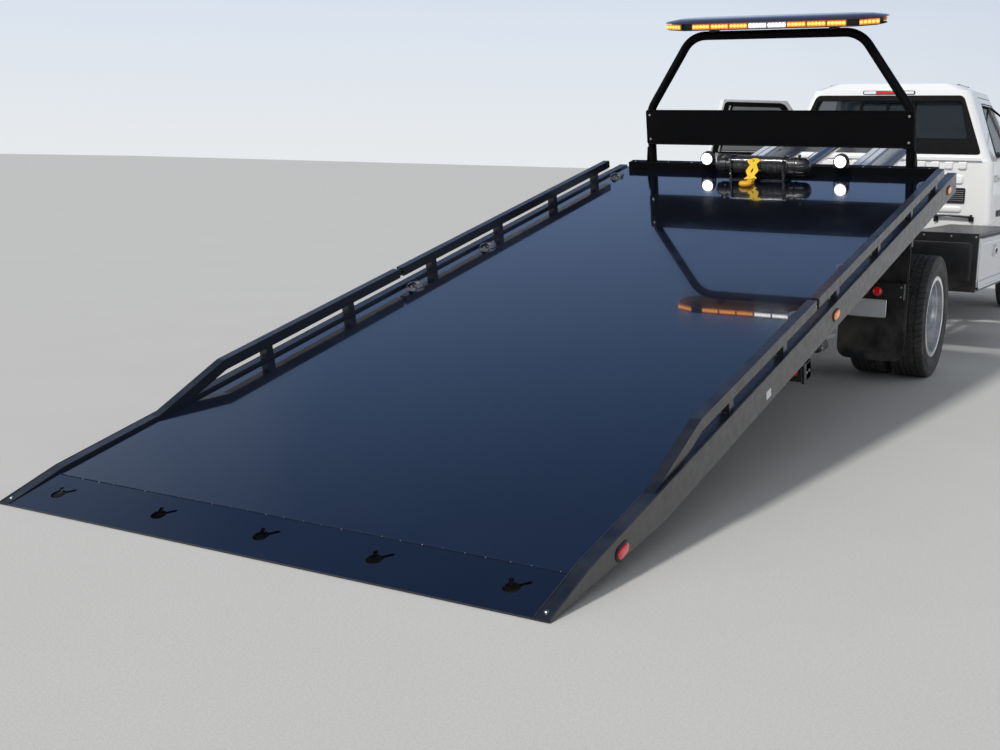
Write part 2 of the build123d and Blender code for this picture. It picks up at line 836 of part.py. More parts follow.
with BuildPart() as lift_stinger:
    with BuildSketch(lift_side(0)):
        with Locations(((stinger_start + stinger_end) / 2, 0)):
            Rectangle(stinger_end - stinger_start, 2 * (lift_half - lift_wall - lift_gap))
    extrude(amount=lift_half - lift_wall - lift_gap, both=True)
    with BuildSketch(lift_side(0)):
        with Locations((stinger_end + bar_depth_x / 2, 0)):
            Rectangle(bar_depth_x, bar_rise)
    extrude(amount=bar_half_y, both=True)
    with BuildSketch(lift_side(0)):
        with Locations((stinger_end + bar_depth_x / 2, 0)):
            Circle(58)
    extrude(amount=bar_rise / 2 + 20, both=True)
save(lift_stinger, "lift_stinger")

# Axles, springs, engine block with its driveline, exhaust and tank
boss_radius = 38
boss_half = 30
kingpin_radius = 20
kingpin_half = 70
banjo_radius = 195
banjo_half = 150
nose_reach = 300
tube_end = 870
spindle_end = 1000
engine_rear = cab_front + 70
engine_front = nose_front - 310
engine_half = 330
engine_low = 500
engine_high = 1150
gearbox_rear = cab_rear + 800
gearbox_half = 170
gearbox_high = 780
shaft_radius = 45

with BuildPart() as front_axle:
    with Locations((front_axle_x, 0, axle_z)):
        Box(2 * beam_half, 2 * (kingpin_y - boss_radius + 12), 2 * beam_half - 20)
    for side in (-1, 1):
        with Locations((front_axle_x, side * front_spring_y, axle_z)):
            Box(2 * beam_half + 40, frame_flange, 2 * beam_half)
        with Locations((front_axle_x, side * kingpin_y, axle_z)):
            Cylinder(boss_radius, 2 * boss_half)
            Cylinder(kingpin_radius, 2 * kingpin_half)
        with BuildSketch(Plane.XY.offset(axle_z + boss_half)):
            with Locations((front_axle_x, side * kingpin_y)):
                Rectangle(4 * boss_radius, 4 * boss_radius)
                Circle(kingpin_radius, mode=Mode.SUBTRACT)
        extrude(amount=2 * boss_half, mode=Mode.SUBTRACT)
        with BuildSketch(Plane.XY.offset(axle_z - boss_half)):
            with Locations((front_axle_x, side * kingpin_y)):
                Rectangle(4 * boss_radius, 4 * boss_radius)
                Circle(kingpin_radius, mode=Mode.SUBTRACT)
        extrude(amount=-2 * boss_half, mode=Mode.SUBTRACT)
save(front_axle, "front_axle")

with BuildPart() as rear_axle:
    with Locations(Location((rear_axle_x, 0, axle_z), (90, 0, 0))):
        Cylinder(axle_tube, 2 * tube_end)
        Cylinder(spindle_radius, 2 * spindle_end)
        Cylinder(banjo_radius, 2 * banjo_half)
    circles = rear_axle.edges().filter_by(GeomType.CIRCLE)
    banjo_rims = circles.filter_by(lambda edge: edge.radius == banjo_radius)
    fillet(banjo_rims, radius=90)
    with Locations(Location((rear_axle_x + nose_reach / 2, 0, axle_z), (0, 90, 0))):
        Cone(120, 65, nose_reach)
save(rear_axle, "rear_axle")

with BuildPart() as leaf_springs:
    for x, seat_rise, tip_top, reach, y, width in (
        (rear_axle_x, axle_tube, rear_spring_top, rear_spring_reach, spring_y, spring_width),
        (front_axle_x, beam_half, front_spring_top, front_spring_reach, front_spring_y, frame_flange),
    ):
        seat_z = axle_z + seat_rise
        seat_top = seat_z + spring_pack
        tip_z = tip_top - spring_pack
        for side in (-1, 1):
            with BuildSketch(side_view(side * y)):
                with BuildLine():
                    ThreePointArc((x - reach, tip_z), (x, seat_z), (x + reach, tip_z))
                    Line((x + reach, tip_z), (x + reach, tip_top))
                    ThreePointArc((x + reach, tip_top), (x, seat_top), (x - reach, tip_top))
                    Line((x - reach, tip_top), (x - reach, tip_z))
                make_face()
            extrude(amount=width / 2, both=True)
save(leaf_springs, "leaf_springs")

with BuildPart() as engine:
    with Locations(((engine_rear + engine_front) / 2, 0, (engine_low + engine_high) / 2)):
        Box(engine_front - engine_rear, 2 * engine_half, engine_high - engine_low)
    with Locations(((engine_rear + engine_front) / 2, 0, frame_top - frame_depth / 2)):
        Box(120, 2 * (frame_half - frame_wall), 60)
    with Locations(((gearbox_rear + engine_rear) / 2, 0, (engine_low + gearbox_high) / 2)):
        Box(engine_rear - gearbox_rear, 2 * gearbox_half, gearbox_high - engine_low)
    shaft_tail = (rear_axle_x + nose_reach + 5, 0, axle_z)
    shaft_head = (gearbox_rear, 0, engine_low + shaft_radius + 20)
    with BuildLine() as shaft_line:
        Line(shaft_head, shaft_tail)
    with BuildSketch(Plane(shaft_head, z_dir=shaft_line.line % 0)):
        Circle(shaft_radius)
    sweep(path=shaft_line.line)
save(engine, "engine")

muffler_rear = cab_rear + 100
muffler_front = muffler_rear + 900
exhaust_y = -frame_half - 198
muffler_radius = 110
pipe_radius = 38
muffler_z = 440
pipe_low_z = 400
pipe_over_z = axle_z + 260
tip_z = 270

with BuildPart() as exhaust:
    with BuildSketch(Plane.YZ.offset(muffler_rear)):
        with Locations((exhaust_y, muffler_z)):
            Circle(muffler_radius)
    extrude(amount=muffler_front - muffler_rear)
    hanger_x = (muffler_rear + muffler_front) / 2
    with Locations((hanger_x, (exhaust_y - frame_half) / 2, muffler_z + muffler_radius + 16)):
        Box(40, -exhaust_y - frame_half, 60)
    with BuildLine() as pipe_line:
        FilletPolyline(
            (muffler_rear + 20, exhaust_y, muffler_z),
            (rear_axle_x + 980, exhaust_y, pipe_low_z),
            (rear_axle_x + 580, exhaust_y - 5, pipe_over_z),
            (rear_axle_x - 370, exhaust_y - 5, pipe_over_z),
            (rear_axle_x - 660, exhaust_y - 10, pipe_low_z + 20),
            (rear_axle_x - 980, exhaust_y - 50, tip_z),
            radius=120,
        )
    with BuildSketch(Plane(pipe_line.line @ 0, z_dir=pipe_line.line % 0)):
        Circle(pipe_radius)
    sweep(path=pipe_line.line)
save(exhaust, "exhaust")

tank_rear = cab_rear + 100
tank_front = tank_rear + 1000
tank_far = frame_half + 418
tank_low = 360
tank_high = 585

with BuildPart() as fuel_tank:
    with BuildSketch(Plane.YZ.offset(tank_rear)):
        with Locations(((frame_half + tank_far) / 2, (tank_low + tank_high) / 2)):
            RectangleRounded(tank_far - frame_half, tank_high - tank_low, 40)
    extrude(amount=tank_front - tank_rear)
    with Locations(((tank_rear + tank_front) / 2, frame_half + 30, tank_high + 20)):
        Box(400, 60, 60)
save(fuel_tank, "fuel_tank")


# Wheels
def wheel_plane(x, y, side):
    """Plane through a wheel's axis: x points outboard, y is up."""
    return Plane(origin=(x, y, axle_z), x_dir=(0, side, 0), z_dir=(side, 0, 0))


def wheel_axis(x, y):
    """The wheel's axis of rotation."""
    return Axis((x, y, axle_z), (0, 1, 0))


def tyre_points():
    """Corners of a tyre's half section: x from its middle, y from its axis."""
    half = tyre_width / 2
    bead = rim_half - rim_flange_width - 1
    shoulder = half - tyre_shoulder
    sidewall = (rim_flange + tyre_radius) / 2
    outboard = (
        (bead, rim_radius + bearing_gap),
        (bead, rim_flange + 4),
        (half, sidewall),
        (half - 4, tyre_radius - tyre_shoulder),
        (shoulder, tyre_radius),
    )
    return outboard + tuple((-x, y) for x, y in reversed(outboard))


def barrel_points(middle):
    """Corners of a rim barrel's half section with its two flanges."""
    low = rim_radius - rim_wall
    return (
        (middle - rim_half, low),
        (middle + rim_half, low),
        (middle + rim_half, rim_flange),
        (middle + rim_half - rim_flange_width, rim_flange),
        (middle + rim_half - rim_flange_width, rim_radius),
        (middle - rim_half + rim_flange_width, rim_radius),
        (middle - rim_half + rim_flange_width, rim_flange),
        (middle - rim_half, rim_flange),
    )


hub_radius = 72
hub_reach = 190
disc_plate = 10
disc_offset = 32
disc_cone = 45
rear_hub_in = 60
rear_hub_out = 130
rear_middle_y = rear_outer_y - dual_spacing / 2

for side, name in ((1, "left"), (-1, "right")):
    with BuildPart() as front_tyre:
        with BuildSketch(wheel_plane(front_axle_x, side * front_wheel_y, side)):
            with BuildLine():
                Polyline(*tyre_points(), close=True)
            make_face()
        revolve(axis=wheel_axis(front_axle_x, side * front_wheel_y))
    save(front_tyre, f"tyre_front_{name}")

    with BuildPart() as rear_tyres:
        for y in (rear_middle_y - dual_spacing / 2, rear_middle_y + dual_spacing / 2):
            with BuildSketch(wheel_plane(rear_axle_x, side * y, side)):
                with BuildLine():
                    Polyline(*tyre_points(), close=True)
                make_face()
            revolve(axis=wheel_axis(rear_axle_x, side * y))
    save(rear_tyres, f"tyres_rear_{name}")

    with BuildPart() as front_rim:
        with BuildSketch(wheel_plane(front_axle_x, side * front_wheel_y, side)):
            with BuildLine():
                Polyline(*barrel_points(0), close=True)
            make_face()
            disc_face = rim_half + disc_offset
            with BuildLine():
                Polyline(
                    (rim_half, rim_radius - rim_wall),
                    (rim_half, rim_radius),
                    (disc_face, rim_radius - disc_cone),
                    (disc_face, hub_radius - 10),
                    (disc_face - disc_plate, hub_radius - 10),
                    (disc_face - disc_plate, rim_radius - disc_cone - rim_wall),
                    close=True,
                )
            make_face()
            with Locations(((hub_reach - 30) / 2, (hub_radius + spindle_radius + bearing_gap) / 2)):
                Rectangle(hub_reach + 30, hub_radius - spindle_radius - bearing_gap)
            with Locations((hub_reach - 15, hub_radius / 2)):
                Rectangle(30, hub_radius)
        revolve(axis=wheel_axis(front_axle_x, side * front_wheel_y))
        with BuildSketch(side_view(side * (front_wheel_y + disc_face))):
            with Locations((front_axle_x, axle_z)):
                with PolarLocations(hand_hole_circle, hand_holes):
                    Circle(hand_hole_radius)
        extrude(amount=3 * disc_plate, both=True, mode=Mode.SUBTRACT)
    save(front_rim, f"rim_front_{name}")

    with BuildPart() as rear_rims:
        with BuildSketch(wheel_plane(rear_axle_x, side * rear_middle_y, side)):
            for end in (-1, 1):
                with BuildLine():
                    Polyline(*barrel_points(end * dual_spacing / 2), close=True)
                make_face()
                inner_edge = dual_spacing / 2 - rim_half
                with BuildLine():
                    Polyline(
                        (end * inner_edge, rim_radius),
                        (end * inner_edge, rim_radius - rim_wall),
                        (end * disc_plate, rim_radius - disc_cone - rim_wall),
                        (end * disc_plate, hub_radius - 10),
                        (0, hub_radius - 10),
                        (0, rim_radius - disc_cone),
                        close=True,
                    )
                make_face()
            hub_mid = (hub_radius + spindle_radius + bearing_gap) / 2
            with Locations(((rear_hub_out - rear_hub_in) / 2, hub_mid)):
                Rectangle(rear_hub_out + rear_hub_in, hub_radius - spindle_radius - bearing_gap)
            with Locations((rear_hub_out - 15, hub_radius / 2)):
                Rectangle(30, hub_radius)
        revolve(axis=wheel_axis(rear_axle_x, side * rear_middle_y))
        with BuildSketch(side_view(side * rear_middle_y)):
            with Locations((rear_axle_x, axle_z)):
                with PolarLocations(hand_hole_circle, hand_holes):
                    Circle(hand_hole_radius)
        extrude(amount=3 * disc_plate, both=True, mode=Mode.SUBTRACT)
    save(rear_rims, f"rims_rear_{name}")

    yoke_gap = 6
    yoke_plate = 26
    yoke_half = 40
    web_inner = kingpin_y + boss_radius + yoke_gap
    web_outer = front_wheel_y - 36
    with BuildPart() as knuckle:
        for edge in (-1, 1):
            ear_z = axle_z + edge * (boss_half + yoke_gap + yoke_plate / 2)
            with BuildSketch(Plane.XY.offset(ear_z)):
                with Locations((front_axle_x, side * kingpin_y)):
                    Circle(yoke_half)
                with Locations((front_axle_x, side * (kingpin_y + web_outer) / 2)):
                    Rectangle(2 * yoke_half, web_outer - kingpin_y)
                with Locations((front_axle_x, side * kingpin_y)):
                    Circle(kingpin_radius + pin_gap, mode=Mode.SUBTRACT)
            extrude(amount=yoke_plate / 2, both=True)
        with Locations((front_axle_x, side * (web_inner + web_outer) / 2, axle_z)):
            Box(2 * yoke_half, web_outer - web_inner, 2 * (boss_half + yoke_gap + yoke_plate))
        with BuildSketch(side_view(side * web_outer)):
            with Locations((front_axle_x, axle_z)):
                Circle(spindle_radius)
        extrude(amount=-side * (front_wheel_y + hub_reach - 60 - web_outer))
    save(knuckle, f"knuckle_{name}")

# Cab body as stacked sections: height, rear wall, front, half width, corner radius
brow = roof - 65
widest = nose_bottom + 300
lower_sections = (
    (nose_bottom, cab_rear + 15, cab_front, cab_half - 30, 60),
    (widest, cab_rear, cab_front, cab_half, 60),
    (belt, cab_rear + 5, cab_front, cab_half - 20, 70),
)
upper_sections = (
    (belt, cab_rear + 5, cab_front - 20, cab_half - 45, 90),
    (brow, cab_rear + 90, cab_front - 700, cab_half - 270, 110),
    (roof, cab_rear + 210, cab_front - 910, cab_half - 415, 110),
)


def stacked(sections, inset, sink):
    """Solid through level rectangles, each inset, with those above the belt lowered by sink."""
    with BuildPart() as solid:
        for z, rear, front, half, corner in sections:
            with BuildSketch(Plane.XY.offset(z - (sink if z > belt else 0))):
                with Locations(((rear + front) / 2, 0)):
                    RectangleRounded(front - rear - 2 * inset, 2 * (half - inset), corner)
        loft(ruled=True)
    return solid.part


def cab_room():
    """The hollow inside the cab, from its floor to its headlining."""
    with BuildPart() as room:
        add(stacked(lower_sections, lower_wall, 0))
        with Locations((cab_rear, 0, (floor_bottom + floor_plate) / 2)):
            Box(4 * cab_length, 4 * cab_half, floor_bottom + floor_plate, mode=Mode.SUBTRACT)
        add(stacked(upper_sections, upper_wall, upper_wall))
    return room.part


def cab_walls():
    """The cab body with its doors still in it, and the tunnel for the frame under its floor."""
    with BuildPart() as walls:
        add(stacked(lower_sections, 0, 0))
        add(stacked(upper_sections, 0, 0))
        with Locations(((cab_rear + cab_front) / 2, 0, (nose_bottom + floor_bottom) / 2)):
            Box(2 * cab_length, 2 * tunnel_half, floor_bottom - nose_bottom, mode=Mode.SUBTRACT)
        add(cab_room(), mode=Mode.SUBTRACT)
    return walls.part


def glass_skin():
    """A thin skin a little inside the upper body, from which every pane is cut."""
    with BuildPart() as skin:
        add(stacked(upper_sections, glass_inset, glass_inset))
        add(stacked(upper_sections, glass_inset + glass_plate, glass_inset + glass_plate), mode=Mode.SUBTRACT)
    return skin.part


tunnel_half = frame_half + 68
wall_slack = 2
door_inner = cab_half - 475
door_outer = cab_half + 225


def door_space(side, gap):
    """Space that a door takes in the cab's side wall, widened all round by gap."""
    with BuildPart() as space:
        with BuildSketch(side_view(side * (door_inner + 20))):
            with BuildLine():
                Polyline(
                    (door_rear - 100, door_sill),
                    (door_front, door_sill),
                    (door_front, belt + 10),
                    (door_front - door_slope_reach, door_top),
                    (door_rear - 100, door_top),
                    close=True,
                )
            make_face()
            offset(amount=gap, kind=Kind.INTERSECTION)
        extrude(amount=-side * (door_outer - door_inner - 100))
        with BuildSketch(Plane.XY.offset(door_sill - 50)):
            with BuildLine():
                Polyline(
                    (door_rear + (cab_half - door_inner) * door_slant, side * door_inner),
                    (door_front, side * door_inner),
                    (door_front, side * door_outer),
                    (door_rear + (cab_half - door_outer) * door_slant, side * door_outer),
                    close=True,
                )
            make_face()
            offset(amount=gap, kind=Kind.INTERSECTION)
        extrude(amount=door_top - door_sill + 100, mode=Mode.INTERSECT)
        with BuildSketch(Plane.YZ.offset(cab_rear)):
            half = cab_half - lower_wall - wall_slack - gap
            edge = [
                (half, 0),
                (half, widest),
                (half - 20, belt),
                (cab_half - 270 - upper_wall - wall_slack - gap, brow - upper_wall),
            ]
            with BuildLine():
                Polyline(*edge, *[(-y, z) for y, z in reversed(edge)], close=True)
            make_face()
        extrude(amount=cab_length, mode=Mode.SUBTRACT)
    return space.part


window_sill = belt + 55
side_glass_top = door_top - 60
window_edge = 140
window_top_edge = 190
vent_edge = 150


def side_window(side):
    """Space of the window in a door."""
    with BuildPart() as space:
        with BuildSketch(side_view(side * (door_inner + 60))):
            with BuildLine():
                Polyline(
                    (door_rear + window_edge, window_sill),
                    (door_front - vent_edge, window_sill),
                    (door_front - door_slope_reach - 40, side_glass_top),
                    (door_rear + window_top_edge, side_glass_top),
                    close=True,
                )
            make_face()
        extrude(amount=-side * (door_outer - door_inner - 200))
    return space.part


def end_window(start, length, low_half, high_half, low, high):
    """Space of the windscreen or the rear window, along the truck."""
    with BuildPart() as space:
        with BuildSketch(Plane.YZ.offset(start)):
            with BuildLine():
                Polyline((-low_half, low), (low_half, low), (high_half, high), (-high_half, high), close=True)
            make_face()
        extrude(amount=length)
    return space.part


hinge_plate = 55
windscreen_start = cab_front - 840
rear_pane_end = cab_rear + 190
windscreen_space = (windscreen_start, cab_length, cab_half - 185, cab_half - 375, belt + 50, roof - 130)
rear_window_space = (cab_rear - 100, 300, cab_half - 185, cab_half - 340, belt + 70, roof - 145)
walls = cab_walls()
skin = glass_skin()

with BuildPart() as cab:
    add(walls)
    for side in (-1, 1):
        add(door_space(side, door_gap), mode=Mode.SUBTRACT)
    add(end_window(*windscreen_space), mode=Mode.SUBTRACT)
    add(end_window(*rear_window_space), mode=Mode.SUBTRACT)
    with BuildSketch(side_view(0)):
        with Locations((front_axle_x, axle_z)):
            Circle(arch_radius)
    extrude(amount=2 * cab_half, both=True, mode=Mode.SUBTRACT)
    for side in (-1, 1):
        for z in hinge_zs:
            for end in (-1, 1):
                middle = z + end * (hinge_half + 1 + hinge_lug / 2)
                with Locations((hinge_x, side * hinge_y, middle)):
                    Cylinder(hinge_barrel, hinge_lug)
                lug_y = side * (hinge_y + hinge_barrel - hinge_plate / 2)
                with Locations((hinge_x + hinge_plate / 2, lug_y, middle)):
                    Box(hinge_plate, hinge_plate, hinge_lug)
            with Locations((hinge_x, side * hinge_y, z)):
                Cylinder(hinge_pin, 2 * (hinge_half + 1))
        for end in (-1, 1):
            lug_y = side * hood_hinge_y + end * (hinge_half + 1 + hinge_lug / 2)
            with BuildSketch(side_view(lug_y)):
                with Locations((hood_hinge_x, hood_hinge_z)):
                    Circle(hood_barrel)
                with Locations((hood_hinge_x - 14, hood_hinge_z - 8)):
                    Rectangle(28, 30)
            extrude(amount=hinge_lug / 2, both=True)
        with BuildSketch(side_view(side * hood_hinge_y)):
            with Locations((hood_hinge_x, hood_hinge_z)):
                Circle(hood_pin)
        extrude(amount=hinge_half + 1, both=True)
save(cab, "cab")

with BuildPart() as cab_glass:
    add(skin)
    with BuildSketch(side_view(0)):
        with Locations((cab_front, (belt + roof) / 2)):
            Rectangle(2 * (cab_front - windscreen_start), roof - belt)
        with Locations((cab_rear, (belt + roof) / 2)):
            Rectangle(2 * (rear_pane_end - cab_rear), roof - belt)
    extrude(amount=2 * cab_half, both=True, mode=Mode.INTERSECT)
    openings = [end_window(*windscreen_space), end_window(*rear_window_space)]
    add(openings, mode=Mode.INTERSECT)
save(cab_glass, "cab_glass")

mirror_x = door_front - 130
mirror_near = cab_half + 75
mirror_root = cab_half - 105
mirror_width = 190
mirror_height = 330
mirror_low = belt + 30
mirror_depth = 80
handle_x = door_rear + 120
handle_z = belt - 150

for side, name, angle in ((1, "left", -door_open_angle), (-1, "right", 0)):
    hinge = Axis((hinge_x, side * hinge_y, 0), (0, 0, 1))
    with BuildPart() as closed_door:
        add(walls)
        add(door_space(side, 0), mode=Mode.INTERSECT)
        add(side_window(side), mode=Mode.SUBTRACT)
        with Locations((handle_x, side * (cab_half - 5), handle_z)):
            Box(150, 60, 34)
        with Locations((mirror_x, side * (mirror_near + mirror_width / 2), mirror_low + mirror_height / 2)):
            Box(mirror_depth, mirror_width, mirror_height)
        with Locations((mirror_x, side * (mirror_near + mirror_root) / 2, mirror_low + 60)):
            Box(40, mirror_near - mirror_root, 50)
        for z in hinge_zs:
            with Locations((hinge_x, side * hinge_y, z)):
                Cylinder(hinge_barrel, 2 * hinge_half)
            with Locations((hinge_x - hinge_plate / 2, side * (hinge_y + 2 - hinge_plate / 2), z)):
                Box(hinge_plate, hinge_plate, 2 * hinge_half)
            with Locations((hinge_x, side * hinge_y, z)):
                Cylinder(hinge_pin + pin_gap, 2 * hinge_half, mode=Mode.SUBTRACT)
    with BuildPart() as door:
        add(closed_door.part.rotate(hinge, angle))
    save(door, f"door_{name}")
    with BuildPart() as closed_glass:
        add(skin)
        add(side_window(side), mode=Mode.INTERSECT)
    with BuildPart() as door_glass:
        add(closed_glass.part.rotate(hinge, angle))
    save(door_glass, f"door_glass_{name}")

# Nose as sections along the truck: x, half width, top height
nose_sections = (
    (cab_front, cab_half, belt - 5),
    (front_axle_x, cab_half + 30, belt - 20),
    (nose_front - 200, cab_half + 25, belt - 80),
    (nose_front, cab_half - 35, belt - 150),
)
grille_half = 520
grille_low = 900
grille_high = 1200
hood_half = cab_half - 139
hood_front = nose_front - nose_wall - 10
hood_front_gap = 10
hood_low = grille_high
nose_cut_half = 600
lamp_near = 560
lamp_far = 880
panel_bottom = 840


def nose_solid(inset):
    """Solid through the nose's sections, inset on its sides, top and front."""
    with BuildPart() as solid:
        for x, half, top in nose_sections:
            shift = inset if x == nose_front else 0
            with BuildSketch(Plane.YZ.offset(x - shift)):
                with Locations((0, (nose_bottom + top - inset) / 2)):
                    Rectangle(2 * (half - inset), top - inset - nose_bottom)
                fillet(vertices().group_by(Axis.Z)[-1], radius=120)
        loft(ruled=True)
    return solid.part


with BuildPart() as nose_shell:
    add(nose_solid(0))
    add(nose_solid(nose_wall), mode=Mode.SUBTRACT)


def hood_space(rear_gap, side_gap, front_gap):
    """Space in the top of the nose for the hood, which is smaller all round by the gaps."""
    with BuildPart() as space:
        with Locations(((cab_front + rear_gap + hood_front - front_gap) / 2, 0, hood_low + belt / 2)):
            Box(hood_front - front_gap - cab_front - rear_gap, 2 * (hood_half - side_gap), belt)
    return space.part


with BuildPart() as hood:
    add(nose_shell.part)
    add(hood_space(door_gap, door_gap, hood_front_gap), mode=Mode.INTERSECT)
    for side in (-1, 1):
        with BuildSketch(side_view(side * hood_hinge_y)):
            with Locations((hood_hinge_x, hood_hinge_z)):
                Circle(hood_barrel)
            with Locations((hood_hinge_x + 20, hood_hinge_z - 8)):
                Rectangle(40, 26)
            with Locations((hood_hinge_x, hood_hinge_z)):
                Circle(hood_pin + pin_gap, mode=Mode.SUBTRACT)
        extrude(amount=hinge_half, both=True)
        with BuildSketch(side_view(side * hood_hinge_y)):
            with Locations((hood_hinge_x, hood_hinge_z)):
                Circle(hood_pin + pin_gap)
        extrude(amount=hinge_half, both=True, mode=Mode.SUBTRACT)
save(hood, "hood")

with BuildPart() as fenders:
    add(nose_shell.part)
    add(hood_space(0, 0, 0), mode=Mode.SUBTRACT)
    with BuildSketch(side_view(0)):
        with Locations((front_axle_x, axle_z)):
            Circle(arch_radius)
    extrude(amount=2 * cab_half, both=True, mode=Mode.SUBTRACT)
    with BuildSketch(Plane.YZ.offset(nose_front - 2 * nose_wall)):
        with Locations((0, (nose_bottom + panel_bottom) / 2)):
            Rectangle(2 * nose_cut_half, panel_bottom - nose_bottom)
        with Locations((0, (grille_low + grille_high) / 2)):
            Rectangle(2 * grille_half, grille_high - grille_low)
        for side in (-1, 1):
            with Locations((side * (lamp_near + lamp_far) / 2, (grille_low + grille_high) / 2)):
                Rectangle(lamp_far - lamp_near, grille_high - grille_low - 40)
    extrude(amount=4 * nose_wall, mode=Mode.SUBTRACT)
save(fenders, "fenders")

grille_frame = 26
grille_bars = 5
with BuildPart() as grille:
    with BuildSketch(Plane.YZ.offset(nose_front - nose_wall)):
        with Locations((0, (grille_low + grille_high) / 2)):
            Rectangle(2 * grille_half, grille_high - grille_low)
            grille_clear = grille_high - grille_low - 2 * grille_frame
            Rectangle(2 * (grille_half - grille_frame), grille_clear, mode=Mode.SUBTRACT)
            with GridLocations(0, (grille_high - grille_low) / (grille_bars + 1), 1, grille_bars):
                Rectangle(2 * grille_half, 16)
    extrude(amount=nose_wall + 15)
save(grille, "grille")

with BuildPart() as headlamps:
    for side in (-1, 1):
        with BuildSketch(Plane.YZ.offset(nose_front - nose_wall - 20)):
            with Locations((side * (lamp_near + lamp_far) / 2, (grille_low + grille_high) / 2)):
                Rectangle(lamp_far - lamp_near, grille_high - grille_low - 40)
        extrude(amount=nose_wall + 12)
save(headlamps, "headlamps")

bumper_depth = 150
bumper_half = cab_half + 35
bumper_low = 520
bumper_high = 830
with BuildPart() as bumper:
    with Locations((frame_nose + bumper_depth / 2, 0, (bumper_low + bumper_high) / 2)):
        Box(bumper_depth, 2 * bumper_half, bumper_high - bumper_low)
    fillet(bumper.edges().filter_by(Axis.Z).group_by(Axis.X)[-1], radius=110)
save(bumper, "bumper")

# Cab furniture
seat_half = cab_half - 255
seat_rear = cab_rear + 160
seat_front = seat_rear + 580
seat_high = 1100
seat_back_high = 1580
dash_front = cab_front - lower_wall
dash_rear = cab_front - 370
dash_low = 1130
dash_half = cab_half - 175
dash_high = 1400
wheel_x = dash_rear - 140
wheel_y = 390
wheel_z = 1300
wheel_ring = 190
wheel_rim_radius = 15
wheel_tilt = 28

with BuildPart() as seat_bench:
    with BuildSketch(side_view(0)):
        with BuildLine():
            Polyline(
                (seat_rear, floor_bottom + floor_plate),
                (seat_front - 60, floor_bottom + floor_plate),
                (seat_front, seat_high),
                (seat_rear + 130, seat_high - 40),
                (seat_rear + 90, seat_back_high),
                (seat_rear, seat_back_high),
                close=True,
            )
        make_face()
    extrude(amount=seat_half, both=True)
    fillet(seat_bench.edges().filter_by(Axis.Y).group_by(Axis.Z)[-1], radius=35)
save(seat_bench, "seat_bench")

column_radius = 28
column_length = 230
column_grip = 90
wheel_frame = Plane(
    origin=(wheel_x, wheel_y, wheel_z),
    x_dir=(0, 1, 0),
    z_dir=(-cos(radians(wheel_tilt)), 0, sin(radians(wheel_tilt))),
)

with BuildPart() as dashboard:
    with BuildSketch(side_view(0)):
        with BuildLine():
            Polyline(
                (dash_front, dash_low),
                (dash_front, dash_high),
                (dash_rear + 60, dash_high + 20),
                (dash_rear, dash_high - 50),
                (dash_rear + 60, dash_low),
                close=True,
            )
        make_face()
    extrude(amount=dash_half, both=True)
    with BuildSketch(wheel_frame.offset(column_grip - column_length)):
        Circle(column_radius + slide_gap)
    extrude(amount=-column_grip - 20, mode=Mode.SUBTRACT)
save(dashboard, "dashboard")

with BuildPart() as steering_wheel:
    with BuildSketch(Plane(origin=(wheel_x, wheel_y, wheel_z), x_dir=(0, 1, 0), z_dir=wheel_frame.y_dir)):
        with Locations((wheel_ring, 0)):
            Circle(wheel_rim_radius)
    revolve(axis=Axis((wheel_x, wheel_y, wheel_z), wheel_frame.z_dir))
    with BuildSketch(wheel_frame.offset(-8)):
        Circle(50)
        for angle in (0, 180, 270):
            with Locations(Location((0, 0, 0), (0, 0, angle))):
                with Locations((wheel_ring / 2, 0)):
                    Rectangle(wheel_ring, 30)
    extrude(amount=16)
    with BuildSketch(wheel_frame.offset(-8)):
        Circle(column_radius)
    extrude(amount=-column_length)
save(steering_wheel, "steering_wheel")

step_near = cab_half - 95
step_far = step_near + 210
step_low = 430
step_plate = 40
step_rear = door_rear + 10
step_front = door_front - 100

with BuildPart() as side_steps:
    for side in (-1, 1):
        step_y = side * (step_near + step_far + 30) / 2
        with Locations(((step_rear + step_front) / 2, step_y, step_low + step_plate / 2)):
            Box(step_front - step_rear, step_far - step_near - 30, step_plate)
        for x in (step_rear + 150, step_front - 150):
            with Locations((x, side * (step_near + 30), (step_low + nose_bottom) / 2)):
                Box(60, 20, nose_bottom - step_low)
save(side_steps, "side_steps")

# Toolboxes between the cab and the rear wheels, with drop-down doors
box_far = 1200
box_low = 460
box_high = 900
box_wall = 6
box_frame = 30
box_door = 24
box_door_gap = 5
box_leaf = 16
box_leaf_height = 40
box_pin = 5
box_barrel = 9
box_lug = 14
box_hinge_y = box_far + box_barrel + 2
box_hinge_z = box_low + box_frame
box_lug_xs = (box_rear + box_frame, box_front - box_frame)

with BuildPart() as toolboxes:
    for side in (-1, 1):
        middle = ((box_rear + box_front) / 2, side * (box_near + box_far) / 2, (box_low + box_high) / 2)
        with Locations(middle):
            Box(box_front - box_rear, box_far - box_near, box_high - box_low)
            Box(
                box_front - box_rear - 2 * box_wall,
                box_far - box_near - 2 * box_wall,
                box_high - box_low - 2 * box_wall,
                mode=Mode.SUBTRACT,
            )
        with Locations((middle[0], side * box_far, middle[2])):
            Box(
                box_front - box_rear - 2 * box_frame,
                2 * box_frame,
                box_high - box_low - 2 * box_frame,
                mode=Mode.SUBTRACT,
            )
        for x in box_lug_xs:
            with Locations((x, side * (box_far + box_hinge_y) / 2, box_hinge_z - box_barrel / 2)):
                Box(box_lug, box_hinge_y - box_far + 2 * box_pin, 2 * box_barrel)
        with BuildSketch(Plane.YZ.offset(box_lug_xs[0])):
            with Locations((side * box_hinge_y, box_hinge_z)):
                Circle(box_pin)
        extrude(amount=box_lug_xs[1] - box_lug_xs[0])
save(toolboxes, "toolboxes")

